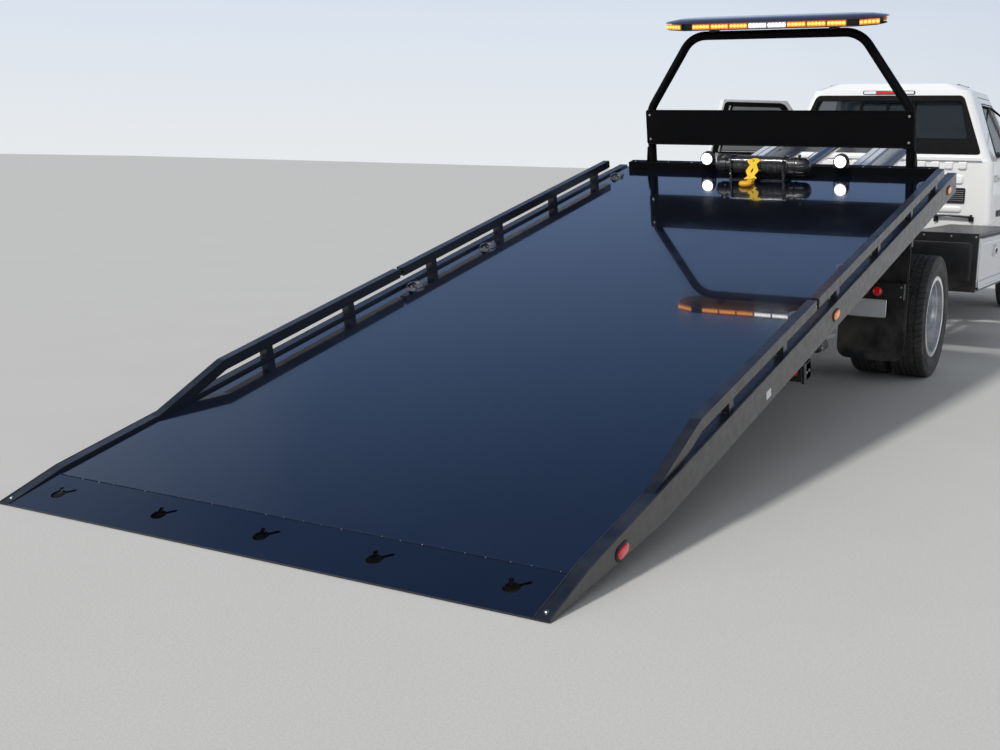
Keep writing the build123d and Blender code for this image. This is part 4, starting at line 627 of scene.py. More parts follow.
def channel_edges():
    """Rolled edges of the side channels, which catch the light."""
    edges = Shape(BED).use("rail")
    for side in (-1, 1):
        for y in (side * (CHANNEL_HALF - 0.003), side * (CHANNEL_HALF - 0.055)):
            edges.tube([(0.004, y, -0.0165), (0.3, y, CHANNEL_RISE - 0.001),
                        (5.937, y, CHANNEL_RISE - 0.001)], 0.0028, 8)
        edges.tube([(0.9, side * 1.2165, -0.1135), (5.937, side * 1.2165, -0.1135)], 0.003, 8)
        edges.tube([(0.012, side * 1.2165, -0.0235), (0.9, side * 1.2165, -0.1135)], 0.003, 8)
    edges.made("channel_edges", "bed", "bed_black")


def guard_rail_details():
    """End caps, welds and the bolted overlap of the guard rails."""
    caps = Shape(BED).use("rail")
    for side in (-1, 1):
        y0, y1 = across(side, 1.161, 1.204)
        for s in (2.8225, 2.8575, 5.6235):
            turn = -0.004 if s < 2.84 else 0.0
            caps.box((s + turn, y0, 0.062), (s + turn + 0.004, y1, 0.108))
        for s in (1.645, 2.34, 3.18, 3.98, 4.74, 5.40):
            for edge in (-1, 1):
                place = s + edge * 0.0255
                caps.tube([(place, y0 + 0.001, 0.0135), (place, y1 - 0.001, 0.0135)], 0.0035, 8)
                caps.tube([(place, y0 + 0.001, 0.0588), (place, y1 - 0.001, 0.0588)], 0.003, 8)
        middle = side * 1.1825
        caps.box((2.79, middle - 0.014, 0.076), (2.89, middle + 0.014, 0.094))
        caps.use("bolt")
        for s in (2.80, 2.88):
            caps.bolt((s, middle + side * 0.022, 0.085), (0, side, 0), 0.007)
        caps.use("rail")
    caps.made("guard_rail_details", "bed", "bed_black", bevel=0.001)


def oval_dome(shape, place, out, along, up, length, height, depth):
    """A domed oval lens on a surface."""
    place, out, along, up = Vector(place), Vector(out), Vector(along), Vector(up)
    outline = rounded(-length / 2, -height / 2, length / 2, height / 2, height / 2 * 0.999, 6)
    rings = []
    for share, level in ((1.0, 0.0), (1.0, 0.35), (0.9, 0.72), (0.66, 0.93), (0.3, 1.0)):
        rings.append([place + along * (x * share) + up * (z * share) + out * (depth * level) for x, z in
                      outline])
    if along.cross(up).dot(out) < 0:
        rings = [ring[::-1] for ring in rings]
    return shape.loops(rings)


def side_markers():
    """Oval marker lamps in rubber grommets on the side channels: red near the tail, amber forward."""
    lamps = Shape(BED)
    for side in (-1, 1):
        for s, look in ((0.53, "red"), (3.087, "amber"), (5.695, "amber")):
            place = (s, side * 1.2205, -0.047)
            directions = ((0, side, 0), (1, 0, 0), (0, 0, 1))
            lamps.use("trim")
            oval_dome(lamps, place, *directions, 0.104, 0.054, 0.006)
            lamps.use(look)
            oval_dome(lamps, (s, side * 1.2245, -0.047), *directions, 0.086, 0.038, 0.0085)
    lamps.use("plate")
    lamps.box((2.03, -1.2212, -0.088), (2.09, -1.2195, -0.052))
    lamps.made("side_markers", "bed", "lamp_lens", smooth=60)


def work_lamps():
    """Two lit round work lamps on the base bar."""
    lamps = Shape(BED)
    face = 5.86
    for y in (-0.48, 0.48):
        centre = (face, y, 0.098)
        back = (-1, 0, 0)
        lamps.use("trim")
        lamps.lathe([(-0.002, 0.02), (0.0, 0.036), (0.012, 0.044), (0.05, 0.047), (0.054, 0.0445),
                     (0.05, 0.042)], centre, back, 28)
        for fin in range(5):
            lamps.lathe([(0.004 + 0.008 * fin, 0.043), (0.006 + 0.008 * fin, 0.049),
                         (0.008 + 0.008 * fin, 0.043)], centre, back, 28)
        lamps.use("white_lit")
        lamps.lathe([(0.046, 0.042), (0.050, 0.040), (0.053, 0.026), (0.054, 0.004)], centre, back, 28)
        lamps.use("trim")
        lamps.box((face - 0.012, y - 0.02, 0.045), (face + 0.012, y + 0.02, 0.062))
        for edge in (-1, 1):
            lamps.box((face - 0.03, y + edge * 0.051 - 0.002, 0.05),
                      (face - 0.008, y + edge * 0.051 + 0.002, 0.105))
            lamps.use("bolt").bolt((face - 0.019, y + edge * 0.053, 0.098), (0, edge, 0), 0.006).use("trim")
        lamps.box((face - 0.03, y - 0.053, 0.05), (face - 0.008, y + 0.053, 0.054))
    lamps.made("work_lamps", "bed", "lamp_lens", smooth=50, replaces=("bed_lamps",))


def tie_ring_details():
    """Bolt heads and hinge straps of the tie-down rings."""
    straps = Shape(BED).use("gloss_black")
    for s in (2.87, 3.69, 5.6):
        for side in (-1, 1):
            y = side * 1.095
            outline = [(-0.03, 0.0102), (-0.012, 0.0102), (-0.012, 0.02), (-0.004, 0.0285), (0.004, 0.0285),
                       (0.012, 0.02), (0.012, 0.0102), (0.03, 0.0102), (0.03, 0.0145), (0.018, 0.0145),
                       (0.016, 0.024), (0.006, 0.0325), (-0.006, 0.0325), (-0.016, 0.024), (-0.018, 0.0145),
                       (-0.03, 0.0145)]
            straps.prism([(a + y, b) for a, b in outline], 0, s - 0.056, s - 0.02)
            straps.use("bolt")
            for dy in (0.021, -0.021):
                straps.bolt((s + 0.048, y + dy, 0.0102), (0, 0, 1), 0.006)
            straps.use("gloss_black")
    straps.made("tie_ring_details", "bed", "bed_black", bevel=0.0008)


# Headboard
def headboard_details():
    """Sign plate's folded rim and bolts, gussets at the hoop's feet and the lamps' bracket bar."""
    parts = Shape(BED).use("sign")
    back = 5.854
    rim = rounded(-0.95, 0.19, 0.95, 0.435, 0.015)
    parts.tube([(back, y, h) for y, h in rim], 0.004, 8, closed=True)
    for side in (-1, 1):
        parts.prism([(5.935, 0.05), (5.935, 0.075), (5.9, 0.16), (5.88, 0.16), (5.86, 0.075), (5.86, 0.05)],
                    1, *across(side, 0.956, 0.966))
        parts.tube([(5.89 + 0.031 * cos(a), side * 0.93 + 0.031 * sin(a), 0.0515) for a in turns(20)],
                   0.0035, 8, closed=True)
        parts.use("bolt")
        for h in (0.225, 0.40):
            parts.bolt((5.854, side * 0.925, h), (-1, 0, 0), 0.0085)
        for y in (0.62, 0.80, 1.06):
            parts.bolt((5.87, side * y, 0.0505), (0, 0, 1), 0.009)
        parts.use("sign")
    parts.box((5.853, -1.105, 0.0505), (5.927, 1.105, 0.0525))
    parts.made("headboard_details", "bed", "bed_black", bevel=0.001)


def light_bar_piece():
    """Slim amber light bar: tray, lit modules and a dark top cover that tapers at both ends."""
    bar = Shape(BED)
    centre, half, reach = 5.89, 0.78, 0.15
    low, high = 0.998, 1.068

    def outline(inset, end):
        tip = half - end
        deep = reach - inset
        return [(centre - deep, -tip + 0.16), (centre - deep * 0.55, -tip + 0.03), (centre, -tip),
                (centre + deep * 0.55, -tip + 0.03), (centre + deep, -tip + 0.16),
                (centre + deep, tip - 0.16), (centre + deep * 0.55, tip - 0.03), (centre, tip),
                (centre - deep * 0.55, tip - 0.03), (centre - deep, tip - 0.16)]

    def slab(sections):
        bar.loops([[(s, y, h) for s, y in outline(inset, end)] for h, inset, end in sections])

    bar.use("trim")
    slab([(low, 0.05, 0.06), (low + 0.004, 0.012, 0.03), (low + 0.008, 0.004, 0.015),
          (low + 0.010, 0.004, 0.015)])
    bar.use("cover")
    slab([(low + 0.051, 0.004, 0.012), (low + 0.053, 0.0, 0.0), (low + 0.058, 0.012, 0.02),
          (high, 0.06, 0.1)])
    bar.use("trim")
    slab([(low + 0.010, 0.03, 0.04), (low + 0.051, 0.03, 0.04)])
    modules = 10
    pitch = 2 * (half - 0.11) / modules
    for index in range(modules):
        y = -(half - 0.11) + pitch * (index + 0.5)
        middle = index in (4, 5)
        for side in (-1, 1):
            inner = 0.06 if index in (0, modules - 1) else 0.0
            s0, s1 = sorted((centre + side * (reach - 0.028 - inner),
                             centre + side * (reach - 0.008 - inner)))
            bar.use("clear" if middle else "amber")
            bar.box((s0, y - pitch / 2 + 0.004, low + 0.012), (s1, y + pitch / 2 - 0.004, low + 0.049))
            bar.use("white_lit" if middle else "amber_lit")
            for dot in range(5):
                place = (centre + side * (reach - 0.009 - inner), y + (dot - 2) * pitch * 0.18, low + 0.0305)
                bar.lathe([(0, 0.0125), (0.003, 0.0115), (0.0045, 0.005)], place, (side, 0, 0), 12)
    for side in (-1, 1):
        for edge in (-1, 1):
            near = Vector((centre + edge * (reach - 0.02), side * (half - 0.165), 0))
            far = Vector((centre + edge * 0.085, side * (half - 0.045), 0))
            out = Vector(((far - near).y, -(far - near).x, 0)).normalized() * (side * edge)
            bar.use("amber")
            ring = [near + Vector((0, 0, low + 0.013)), far + Vector((0, 0, low + 0.013)),
                    far + Vector((0, 0, low + 0.048)), near + Vector((0, 0, low + 0.048))]
            bar.loops([ring, [p + out * 0.012 for p in ring]])
            bar.use("amber_lit")
            for dot in range(5):
                place = near.lerp(far, (dot + 0.5) / 5) + out * 0.0118 + Vector((0, 0, low + 0.0305))
                bar.lathe([(0, 0.0115), (0.003, 0.0105), (0.0045, 0.005)], place, out, 12)
    bar.use("trim")
    for side in (-1, 1):
        y = side * 0.42
        bar.box((centre - 0.05, y - 0.025, 0.978), (centre + 0.05, y + 0.025, 1.0))
    bar.made("light_bar_piece", "bed", "lamp_lens", smooth=30, bevel=0.0015, replaces=("light_bar",))


# Winch, rope, strap and hook
def winch_piece():
    """Hydraulic winch: rope drum between bolted end plates, gearbox and motor, with bright tie bars."""
    s, h = 5.70, 0.084
    right, left = -0.133, 0.229
    unit = Shape(BED)
    unit.use("rope")
    profile = [(0.0, 0.03)]
    wraps = 34
    span = left - right
    for index in range(wraps):
        y0 = span * index / wraps
        for share, radius in ((0.12, 0.0575), (0.5, 0.0612), (0.88, 0.0575)):
            profile.append((y0 + share * span / wraps, radius))
    profile.append((span, 0.03))
    unit.lathe(profile, (s, right, h), (0, 1, 0), 36)
    unit.use("gloss_black")
    for y in (right - 0.012, left):
        unit.lathe([(0, 0.074), (0.012, 0.074)], (s, y, h), (0, 1, 0), 40)
        unit.prism([(s - 0.075, 0.0), (s + 0.075, 0.0), (s + 0.068, h + 0.056), (s - 0.068, h + 0.056)], 1, y,
                   y + 0.012)
    unit.box((s - 0.095, right - 0.012, 0.0005), (s + 0.095, left + 0.012, 0.008))
    unit.use("winch")
    gear = right - 0.012
    unit.lathe([(0, 0.066), (0.02, 0.066), (0.022, 0.058), (0.05, 0.058), (0.052, 0.062), (0.066, 0.062),
                (0.068, 0.058), (0.13, 0.056), (0.15, 0.045), (0.165, 0.02)], (s, gear, h), (0, -1, 0), 36)
    for a in turns(8):
        a += 0.2
        unit.use("bolt").bolt((s + 0.056 * cos(a), gear - 0.02, h + 0.056 * sin(a)), (0, -1, 0), 0.006,
                              washer=False)
        unit.use("winch").rod((s + 0.058 * cos(a + 0.39), gear - 0.022, h + 0.058 * sin(a + 0.39)),
                             (s + 0.056 * cos(a + 0.39), gear - 0.125, h + 0.056 * sin(a + 0.39)), 0.004, 8)
    motor = left + 0.012
    unit.lathe([(0, 0.052), (0.018, 0.052), (0.02, 0.045), (0.04, 0.045), (0.042, 0.05), (0.085, 0.05),
                (0.087, 0.044), (0.11, 0.042), (0.12, 0.03)], (s, motor, h), (0, 1, 0), 32)
    unit.box((s - 0.03, motor + 0.045, h + 0.03), (s + 0.03, motor + 0.085, h + 0.055))
    unit.use("bolt")
    for edge in (-1, 1):
        unit.rod((s + edge * 0.016, motor + 0.065, h + 0.05), (s + edge * 0.016, motor + 0.065, h + 0.066),
                 0.009, 6)
    for ds, dh, look in ((-0.062, 0.05, "polished"), (0.062, 0.05, "winch"), (0.062, -0.05, "winch")):
        unit.use(look).rod((s + ds, right - 0.02, h + dh), (s + ds, left + 0.02, h + dh), 0.0065, 14)
    unit.use("winch")
    unit.prism(quad(s - 0.072, 0.01, s - 0.064, h + 0.052), 1,
               right - 0.016, right + 0.004)
    unit.use("bolt")
    for y, out in ((right - 0.012, -1), (left + 0.012, 1)):
        for ds, dh in ((-0.062, 0.05), (0.062, 0.05), (0.062, -0.05), (-0.062, -0.05)):
            unit.bolt((s + ds, y, h + dh), (0, out, 0), 0.0085)
    unit.use("trim")
    unit.rod((s - 0.02, gear - 0.1, h + 0.05), (s - 0.035, gear - 0.1, h + 0.078), 0.005, 10)
    unit.lathe([(0, 0.004), (0.003, 0.01), (0.01, 0.012), (0.017, 0.01), (0.02, 0.004)],
               (s - 0.035, gear - 0.1, h + 0.072), (-0.4, 0, 1), 14)
    unit.made("winch_piece", "bed", "cast", smooth=40, bevel=0.0012, replaces=("winch",))


def hook_piece():
    """Yellow hook lying on the deck, with its latch, and the yellow strap that ties it to the rope."""
    s, y, r = 5.455, 0.06, 0.039
    hook = Shape(BED).use("yellow")
    centre = Vector((s, y, 0.0165))
    path = []
    for k in range(25):
        a = radians(-62 + 300 * k / 24)
        path.append(centre + Vector((-r * cos(a) * 1.05, r * sin(a), 0)))
    path += [Vector((s + 0.052, y + 0.006, 0.0165)), Vector((s + 0.075, y, 0.0165))]
    rings = []
    for i, p in enumerate(path):
        ahead = (path[min(i + 1, len(path) - 1)] - path[max(i - 1, 0)]).normalized()
        side = ahead.cross(Vector((0, 0, 1))).normalized()
        thick = 0.007 + 0.0095 * sin(pi * min(1.0, (i + 3) / 20.0)) if i < 20 else 0.011
        rings.append([p + thick * (cos(t) * side + 1.15 * sin(t) * Vector((0, 0, 1))) for t in turns(12)])
    hook.loops(rings)
    hook.tube([(s + 0.09 + 0.02 * cos(t), y + 0.02 * sin(t), 0.0165) for t in turns(18)], 0.0075, 10,
              closed=True)
    hook.use("steel")
    hook.box((s - 0.03, y - 0.034, 0.011), (s + 0.018, y - 0.026, 0.022),
             Matrix.Rotation(radians(24), 4, "Z"))
    hook.use("webbing")
    strap = [(s + 0.086, 0.030), (s + 0.10, 0.045), (s + 0.128, 0.075), (s + 0.152, 0.112),
             (s + 0.165, 0.137), (s + 0.176, 0.1455)]
    for shift, drop in ((-0.012, 0.0), (0.022, 0.006)):
        rings = []
        for i, (a, b) in enumerate(strap):
            lean = shift + 0.012 * sin(3.1 * i + shift * 90)
            rings.append([(a, y - 0.017 + lean, b - drop), (a, y + 0.017 + lean, b - drop),
                          (a + 0.003, y + 0.017 + lean, b - drop + 0.0035),
                          (a + 0.003, y - 0.017 + lean, b - drop + 0.0035)])
        hook.loops(rings)
    hook.stack(0, ((s + 0.070, quad(y - 0.016, 0.0285, y + 0.02, 0.032)),
                   (s + 0.112, quad(y - 0.014, 0.030, y + 0.022, 0.0335))))
    hook.use("steel")
    hook.tube([(s + 0.108, y, 0.0165), (s + 0.15, y + 0.003, 0.018), (5.655, y + 0.01, 0.034),
               (5.688, y + 0.012, 0.032)], 0.005, 10)
    hook.made("hook_piece", "bed", "hook_yellow", smooth=60, replaces=("winch_hook",))


PLATE_SIDES = (-1.0075, -0.7025, 0.438, 0.590)
SUB_TAIL, SUB_FRONT = 4.0498, 7.7998
FLANGE_TOP = -0.090
PAD_TOP = -0.0783
BARREL_TAIL = 4.9298

# Wheels
WHEEL_HEIGHT = 0.405
FRONT_AXLE = 10.85
REAR_AXLE = 5.62

TYRE_SIDE = ((0.089, 0.2525), (0.095, 0.262), (0.099, 0.273), (0.1035, 0.284), (0.1042, 0.2875),
             (0.1075, 0.290), (0.1105, 0.312), (0.1125, 0.326), (0.1125, 0.342), (0.1100, 0.361),
             (0.1050, 0.376), (0.0985, 0.386), (0.090, 0.3915), (0.068, 0.3945), (0.0, 0.3955), )
SHOULDER = ((0.060, 0.390), (0.060, 0.4045), (0.092, 0.4040), (0.103, 0.3985), (0.1085, 0.388),
            (0.1108, 0.374), (0.1085, 0.366), (0.095, 0.380), )


def add_tyre(shape, x, y):
    """Tyre with soft shoulders and a directional tread of five block ribs."""
    middle = WHEEL_HEIGHT
    shape.use("tyre")
    profile = [*TYRE_SIDE, *((-across, radius) for across, radius in TYRE_SIDE[-2::-1])]
    shape.lathe(profile, (x, y, middle), (0, 1, 0), 96, closed=True)

    def at(angle, across, radius):
        return (x + radius * sin(angle), y + across, middle + radius * cos(angle))

    pitches = 62
    pitch = 2 * pi / pitches
    for step in range(pitches):
        start = step * pitch
        for side in (-1, 1):
            rings = []
            for angle in (start, start + pitch * 0.46, start + pitch * 0.50, start + pitch * 0.90):
                inner = 0.0 if angle in (start, start + pitch * 0.90) else -0.0015
                rings.append([at(angle + 0.9 * (across - 0.06), side * across,
                                 radius + (inner if radius > 0.4 else 0)) for across, radius in SHOULDER])
            shape.loops(rings)
        for low, high, lean, shift in ((0.0195, 0.0525, 1.5, 0.3), (-0.0525, -0.0195, -1.5, 0.3),
                                       (-0.0135, 0.0135, 0.9, 0.0)):
            for half in (0.0, 0.5):
                first = start + pitch * (shift + half + 0.03)
                last = start + pitch * (shift + half + (0.47 if half == 0.0 else 0.38))
                turn = lean * (high - low) * (1 if lean > 0 else -1)
                turns = (0.0, turn) if lean > 0 else (-turn, 0.0)
                floor = [at(first + turns[0], low, 0.392), at(last + turns[0], low, 0.392),
                         at(last + turns[1], high, 0.392), at(first + turns[1], high, 0.392)]
                top = [at(first + turns[0] + 0.002, low + 0.0008, 0.4048),
                       at(last + turns[0] - 0.002, low + 0.0008, 0.4048),
                       at(last + turns[1] - 0.002, high - 0.0008, 0.4048),
                       at(first + turns[1] + 0.002, high - 0.0008, 0.4048)]
                shape.loops([floor, top])
    for radius, across in ((0.2995, 0.1082), (0.352, 0.1118)):
        for side in (-1, 1):
            shape.lathe([(-0.0012, radius - 0.003), (0.0013, radius - 0.0015), (0.0013, radius + 0.0015),
                         (-0.0012, radius + 0.003)], (x, y + side * across, middle), (0, side, 0), 72,
                        closed=True)


# Body, axle, tyres' middles, hub face and hub cap
WHEELS = {
    "front_left": ("front_wheel_left", FRONT_AXLE, (0.9,), 1.032, 1.090),
    "front_right": ("front_wheel_right", FRONT_AXLE, (-0.9,), -1.032, -1.090),
    "rear_left": ("rear_wheels_left", REAR_AXLE, (0.817, 1.081), 0.959, 1.079),
    "rear_right": ("rear_wheels_right", REAR_AXLE, (-0.817, -1.081), -0.959, -1.079),
}


def tyre_pieces():
    """A treaded tyre in place of each plain one."""
    for name, (body, x, ys, _, _) in WHEELS.items():
        shape = Shape()
        for y in ys:
            add_tyre(shape, x, y)
        node = f"tyres_{name}" if len(ys) > 1 else f"tyre_{name}"
        shape.made(f"tread_{name}", body, "tyre_rubber", smooth=38, replaces=(node,))


def rim_fittings():
    """Nuts, hub caps, hand-hole lips, rim lips, balance weights and valves."""
    middle = WHEEL_HEIGHT
    for name, (body, x, ys, face, cap) in WHEELS.items():
        side = 1 if face > 0 else -1
        out = (0, side, 0)
        outer = ys[-1]
        shape = Shape().use("polished")
        for a, b in zip(turns(10, 0.5), turns(10)):
            place = (x + 0.1125 * cos(a), face, middle + 0.1125 * sin(a))
            shape.lathe([(-0.001, 0.0215), (0.005, 0.0215), (0.008, 0.019)], place, out, 16)
            shape.lathe([(0.006, 0.0185), (0.026, 0.0185), (0.031, 0.0155), (0.038, 0.010), (0.040, 0.004)],
                        place, out, 6)
            hole = (x + 0.165 * cos(b), face, middle + 0.165 * sin(b))
            shape.lathe([(-0.004, 0.0215), (0.0015, 0.0225), (0.002, 0.025), (-0.0005, 0.028)], hole, out, 28,
                        closed=True)
        shape.lathe([(-0.004, 0.0715), (0.003, 0.0700), (0.007, 0.060), (0.009, 0.040), (0.010, 0.012)],
                    (x, cap, middle), out, 48)
        for a in turns(8, 0.25):
            shape.bolt((x + 0.0575 * cos(a), cap + side * 0.0065, middle + 0.0575 * sin(a)), out, 0.0075)
        for edge in (-1, 1):
            lip = outer + edge * 0.0975
            shape.lathe([(-0.002, 0.262), (0.0025, 0.2625), (0.0045, 0.2655), (0.0025, 0.2685),
                         (-0.002, 0.269)], (x, lip, middle), (0, edge, 0), 96, closed=True)
        shape.lathe([(0.0, 0.2405), (0.0015, 0.2385), (0.012, 0.2385), (0.0135, 0.2405)],
                    (x, outer + side * 0.052, middle), out, 72, closed=True)
        shape.use("steel")
        a = 0.35
        stem = Vector((x + 0.205 * cos(a), face + side * 0.001, middle + 0.205 * sin(a)))
        tip = stem + Vector((0.018 * cos(a), side * 0.045, 0.018 * sin(a)))
        shape.rod(stem, tip, 0.004, 10)
        shape.use("trim").rod(tip - (tip - stem) * 0.15, tip + (tip - stem) * 0.12, 0.0055, 10)
        shape.made(f"rim_fittings_{name}", body, "polished", smooth=35)


# Tail: lamps, flaps and the wheel lift's ends
def round_lamp(shape, place, out, radius, look, rim="trim"):
    """Round lamp in a rubber grommet."""
    shape.use(rim).lathe([(-0.004, radius * 0.7), (-0.002, radius * 1.12), (0.005, radius * 1.14),
                          (0.008, radius * 1.04), (0.006, radius * 0.94)], place, out, 32)
    shape.use(look).lathe([(0.003, radius * 0.95), (0.008, radius * 0.93), (0.012, radius * 0.72),
                           (0.014, radius * 0.35), (0.0145, 0.002)], place, out, 32)


def tail_lamps():
    """Round lamps on the panels before the flaps, with strips above and below them, and bolts."""
    lamps = Shape()
    rear = (-1, 0, 0)
    for side in (-1, 1):
        for y, look in ((0.775, "clear"), (0.862, "red"), (0.949, "red")):
            round_lamp(lamps, (4.982, side * y, 0.607), rear, 0.031, look)
        lamps.use("satin_black")
        lamps.box((4.979, side * 0.9 - 0.211, 0.556), (4.983, side * 0.9 + 0.211, 0.5605))
        lamps.box((4.979, side * 0.9 - 0.211, 0.6595), (4.983, side * 0.9 + 0.211, 0.664))
        for y in (0.706, 1.094):
            lamps.use("bolt").bolt((4.982, side * y, 0.64), rear, 0.006)
            lamps.bolt((4.982, side * y, 0.58), rear, 0.006)
    lamps.made("tail_lamps", "chassis", "lamp_lens", smooth=50)


def number_plate():
    """Bare plate on a pressed frame, with its bolts."""
    plate = Shape().use("plate")
    y0, y1, z0, z1 = PLATE_SIDES
    plate.prism(rounded(y0 + 0.004, z0 + 0.004, y1 - 0.004, z1 - 0.004, 0.008), 0, 4.9915, 4.9945)
    plate.use("polished")
    plate.tube([(4.9925, y, z) for y, z in rounded(y0 + 0.003, z0 + 0.003, y1 - 0.003, z1 - 0.003, 0.01)],
               0.0028, 8, closed=True)
    plate.use("bolt")
    for y in (y0 + 0.045, y1 - 0.045):
        plate.bolt((4.9915, y, z1 - 0.014), (-1, 0, 0), 0.005)
    plate.made("number_plate", "chassis", "polished", smooth=40)


def flap_details():
    """Clamp strips with bolts along the flaps' tops, a bead round each flap and moulded ribs."""
    flaps = Shape()
    for side in (-1, 1):
        y0, y1 = across(side, 0.695, 1.12)
        flaps.use("satin_black").box((5.046, y0 + 0.004, 0.882), (5.0525, y1 - 0.004, 0.926))
        flaps.use("bolt")
        for k in range(5):
            flaps.bolt((5.046, y0 + 0.03 + k * (y1 - y0 - 0.06) / 4, 0.904), (-1, 0, 0), 0.009)
        flaps.use("flap")
        outline = rounded(y0 + 0.012, 0.172, y1 - 0.012, 0.872, 0.06)
        flaps.tube([(5.0515, y, z) for y, z in outline], 0.0026, 8, closed=True)
        for k in range(9):
            y = y0 + 0.06 + k * (y1 - y0 - 0.12) / 8
            flaps.box((5.0506, y - 0.003, 0.24), (5.0526, y + 0.003, 0.80))
            flaps.box((5.0594, y - 0.003, 0.24), (5.0614, y + 0.003, 0.80))
    flaps.made("flap_details", "chassis", "flap_rubber", smooth=50)


def lift_ends():
    """Crossbar ends of the wheel lift: end plates, sockets, pins, marker lamps and reflector strips."""
    ends = Shape()
    run = atan2(0.240, 1.080)
    ends.at = Matrix(((-cos(run), 0, sin(run), 4.80009), (0, 1, 0, 0), (-sin(run), 0, -cos(run), 0.5),
                      (0, 0, 0, 1)))
    ends.use("satin_black")
    for side in (-1, 1):
        y0, y1 = across(side, 0.886, 0.9)
        ends.prism(quad(1.056, -0.052, 1.186, 0.052), 1, y0, y1)
        for d in (1.10, 1.14):
            ends.use("bolt").bolt((d, side * 0.8995, 0.0), (0, side, 0), 0.0095)
        ends.use("galvanised")
        ends.box((1.1795, side * 0.897 - 0.014, -0.066), (1.1835, side * 0.897 + 0.014, 0.045))
        ends.use("satin_black")
        ends.lathe([(0.0, 0.036), (0.05, 0.036), (0.052, 0.03), (0.05, 0.026), (0.0, 0.026)],
                   (1.12, side * 0.62, -0.047), (0, 0, -1), 28)
        ends.use("steel").tube([(1.12, side * 0.62 - 0.05, -0.07), (1.12, side * 0.62 + 0.05, -0.07),
                                (1.135, side * 0.62 + 0.062, -0.066), (1.15, side * 0.62 + 0.055, -0.05)],
                               0.0055, 10)
        ends.use("satin_black")
        for y in (0.30, 0.48):
            ends.box((1.075, side * y - 0.006, -0.062), (1.165, side * y + 0.006, -0.044))
        round_lamp(ends, (1.1795, side * 0.845, -0.012), (1, 0, 0), 0.022, "red")
    ends.use("red")
    for side in (-1, 1):
        oval_dome(ends, (1.1805, side * 0.70, 0.0), (1, 0, 0), (0, 1, 0), (0, 0, 1), 0.08, 0.03, 0.006)
    ends.use("bolt")
    for y in (-0.075, 0.0, 0.075):
        ends.bolt((1.1795, y, 0.03), (1, 0, 0), 0.009)
    ends.made("lift_ends", "lift_stinger", "chassis_black", smooth=40, bevel=0.001)


def boom_details():
    """Wear collar, side plates and hose clips of the wheel lift's boom."""
    run = atan2(0.240, 1.080)
    boom = Shape(Matrix(((-cos(run), 0, sin(run), 4.80009), (0, 1, 0, 0), (-sin(run), 0, -cos(run), 0.5),
                         (0, 0, 0, 1))))
    boom.use("satin_black")
    outer = rounded(-0.066, -0.066, 0.066, 0.066, 0.008)
    inner = rounded(-0.0605, -0.0605, 0.0605, 0.0605, 0.006)
    boom.stack(0, ((0.858, outer), (0.898, outer), (0.898, inner), (0.858, inner)), closed_path=True)
    for side in (-1, 1):
        boom.use("satin_black").box((0.30, side * 0.0615 - 0.002, -0.03), (0.84, side * 0.0615 + 0.002, 0.03))
        for d in (0.35, 0.5, 0.65, 0.8):
            boom.use("bolt").bolt((d, side * 0.0635, 0.0), (0, side, 0), 0.009)
    boom.use("trim")
    for y in (-0.022, 0.022):
        boom.tube([(0.16, y, -0.064), (0.30, y, -0.068), (0.55, y, -0.067), (0.80, y, -0.068),
                   (0.845, y, -0.064)], 0.008, 10)
    boom.use("bolt")
    for d in (0.28, 0.52, 0.76):
        boom.box((d - 0.008, -0.036, -0.0785), (d + 0.008, 0.036, -0.0755))
        for y in (-0.034, 0.034):
            boom.box((d - 0.008, y - 0.0015, -0.078), (d + 0.008, y + 0.0015, -0.0595))
    boom.made("boom_details", "lift_boom", "chassis_black", smooth=45)


# Subframe and slide cylinder
def subframe_details():
    """Polished wear strips on the beams' top flanges, their grease groove, bolt rows and stiffeners."""
    strips = Shape(BED)
    top = FLANGE_TOP
    for side in (-1, 1):
        strips.use("brushed")
        for low, high in ((0.3815, 0.4245), (0.4355, 0.4785)):
            y0, y1 = sorted((side * low, side * high))
            strips.prism(rounded(SUB_TAIL + 0.01, y0, SUB_FRONT - 0.01, y1, 0.004, 2), 2, PAD_TOP - 0.003,
                         PAD_TOP + 0.0002)
        strips.use("gloss_black")
        y0, y1 = across(side, 0.4247, 0.4353)
        strips.box((SUB_TAIL + 0.01, y0, PAD_TOP - 0.001), (SUB_FRONT - 0.01, y1, PAD_TOP + 0.0001))
        strips.use("bolt")
        for k in range(16):
            s = SUB_TAIL + 0.15 + k * (SUB_FRONT - SUB_TAIL - 0.3) / 15
            strips.bolt((s, side * 0.375, top - 0.0125), (0, 0, -1), 0.008)
        strips.use("galvanised")
        for k in range(9):
            s = SUB_TAIL + 0.34 + k * (SUB_FRONT - SUB_TAIL - 0.6) / 8
            for out in (-1, 1):
                reach = 0.018 if out == side else 0.062
                y0, y1 = sorted((side * 0.43 + out * 0.0055, side * 0.43 + out * reach))
                strips.prism([(y0, top - 0.0125), (y1, top - 0.0125), (y1 if out > 0 else y0, top - 0.03),
                              (y0 if out > 0 else y1, top - 0.06)], 0, s - 0.004, s + 0.004)
        strips.use("satin_black")
        y0, y1 = across(side, 0.364, 0.448)
        strips.box((SUB_TAIL - 0.003, y0, top - 0.16), (SUB_TAIL + 0.001, y1, top - 0.002))
    strips.made("subframe_details", "subframe", "galvanised", smooth=40)


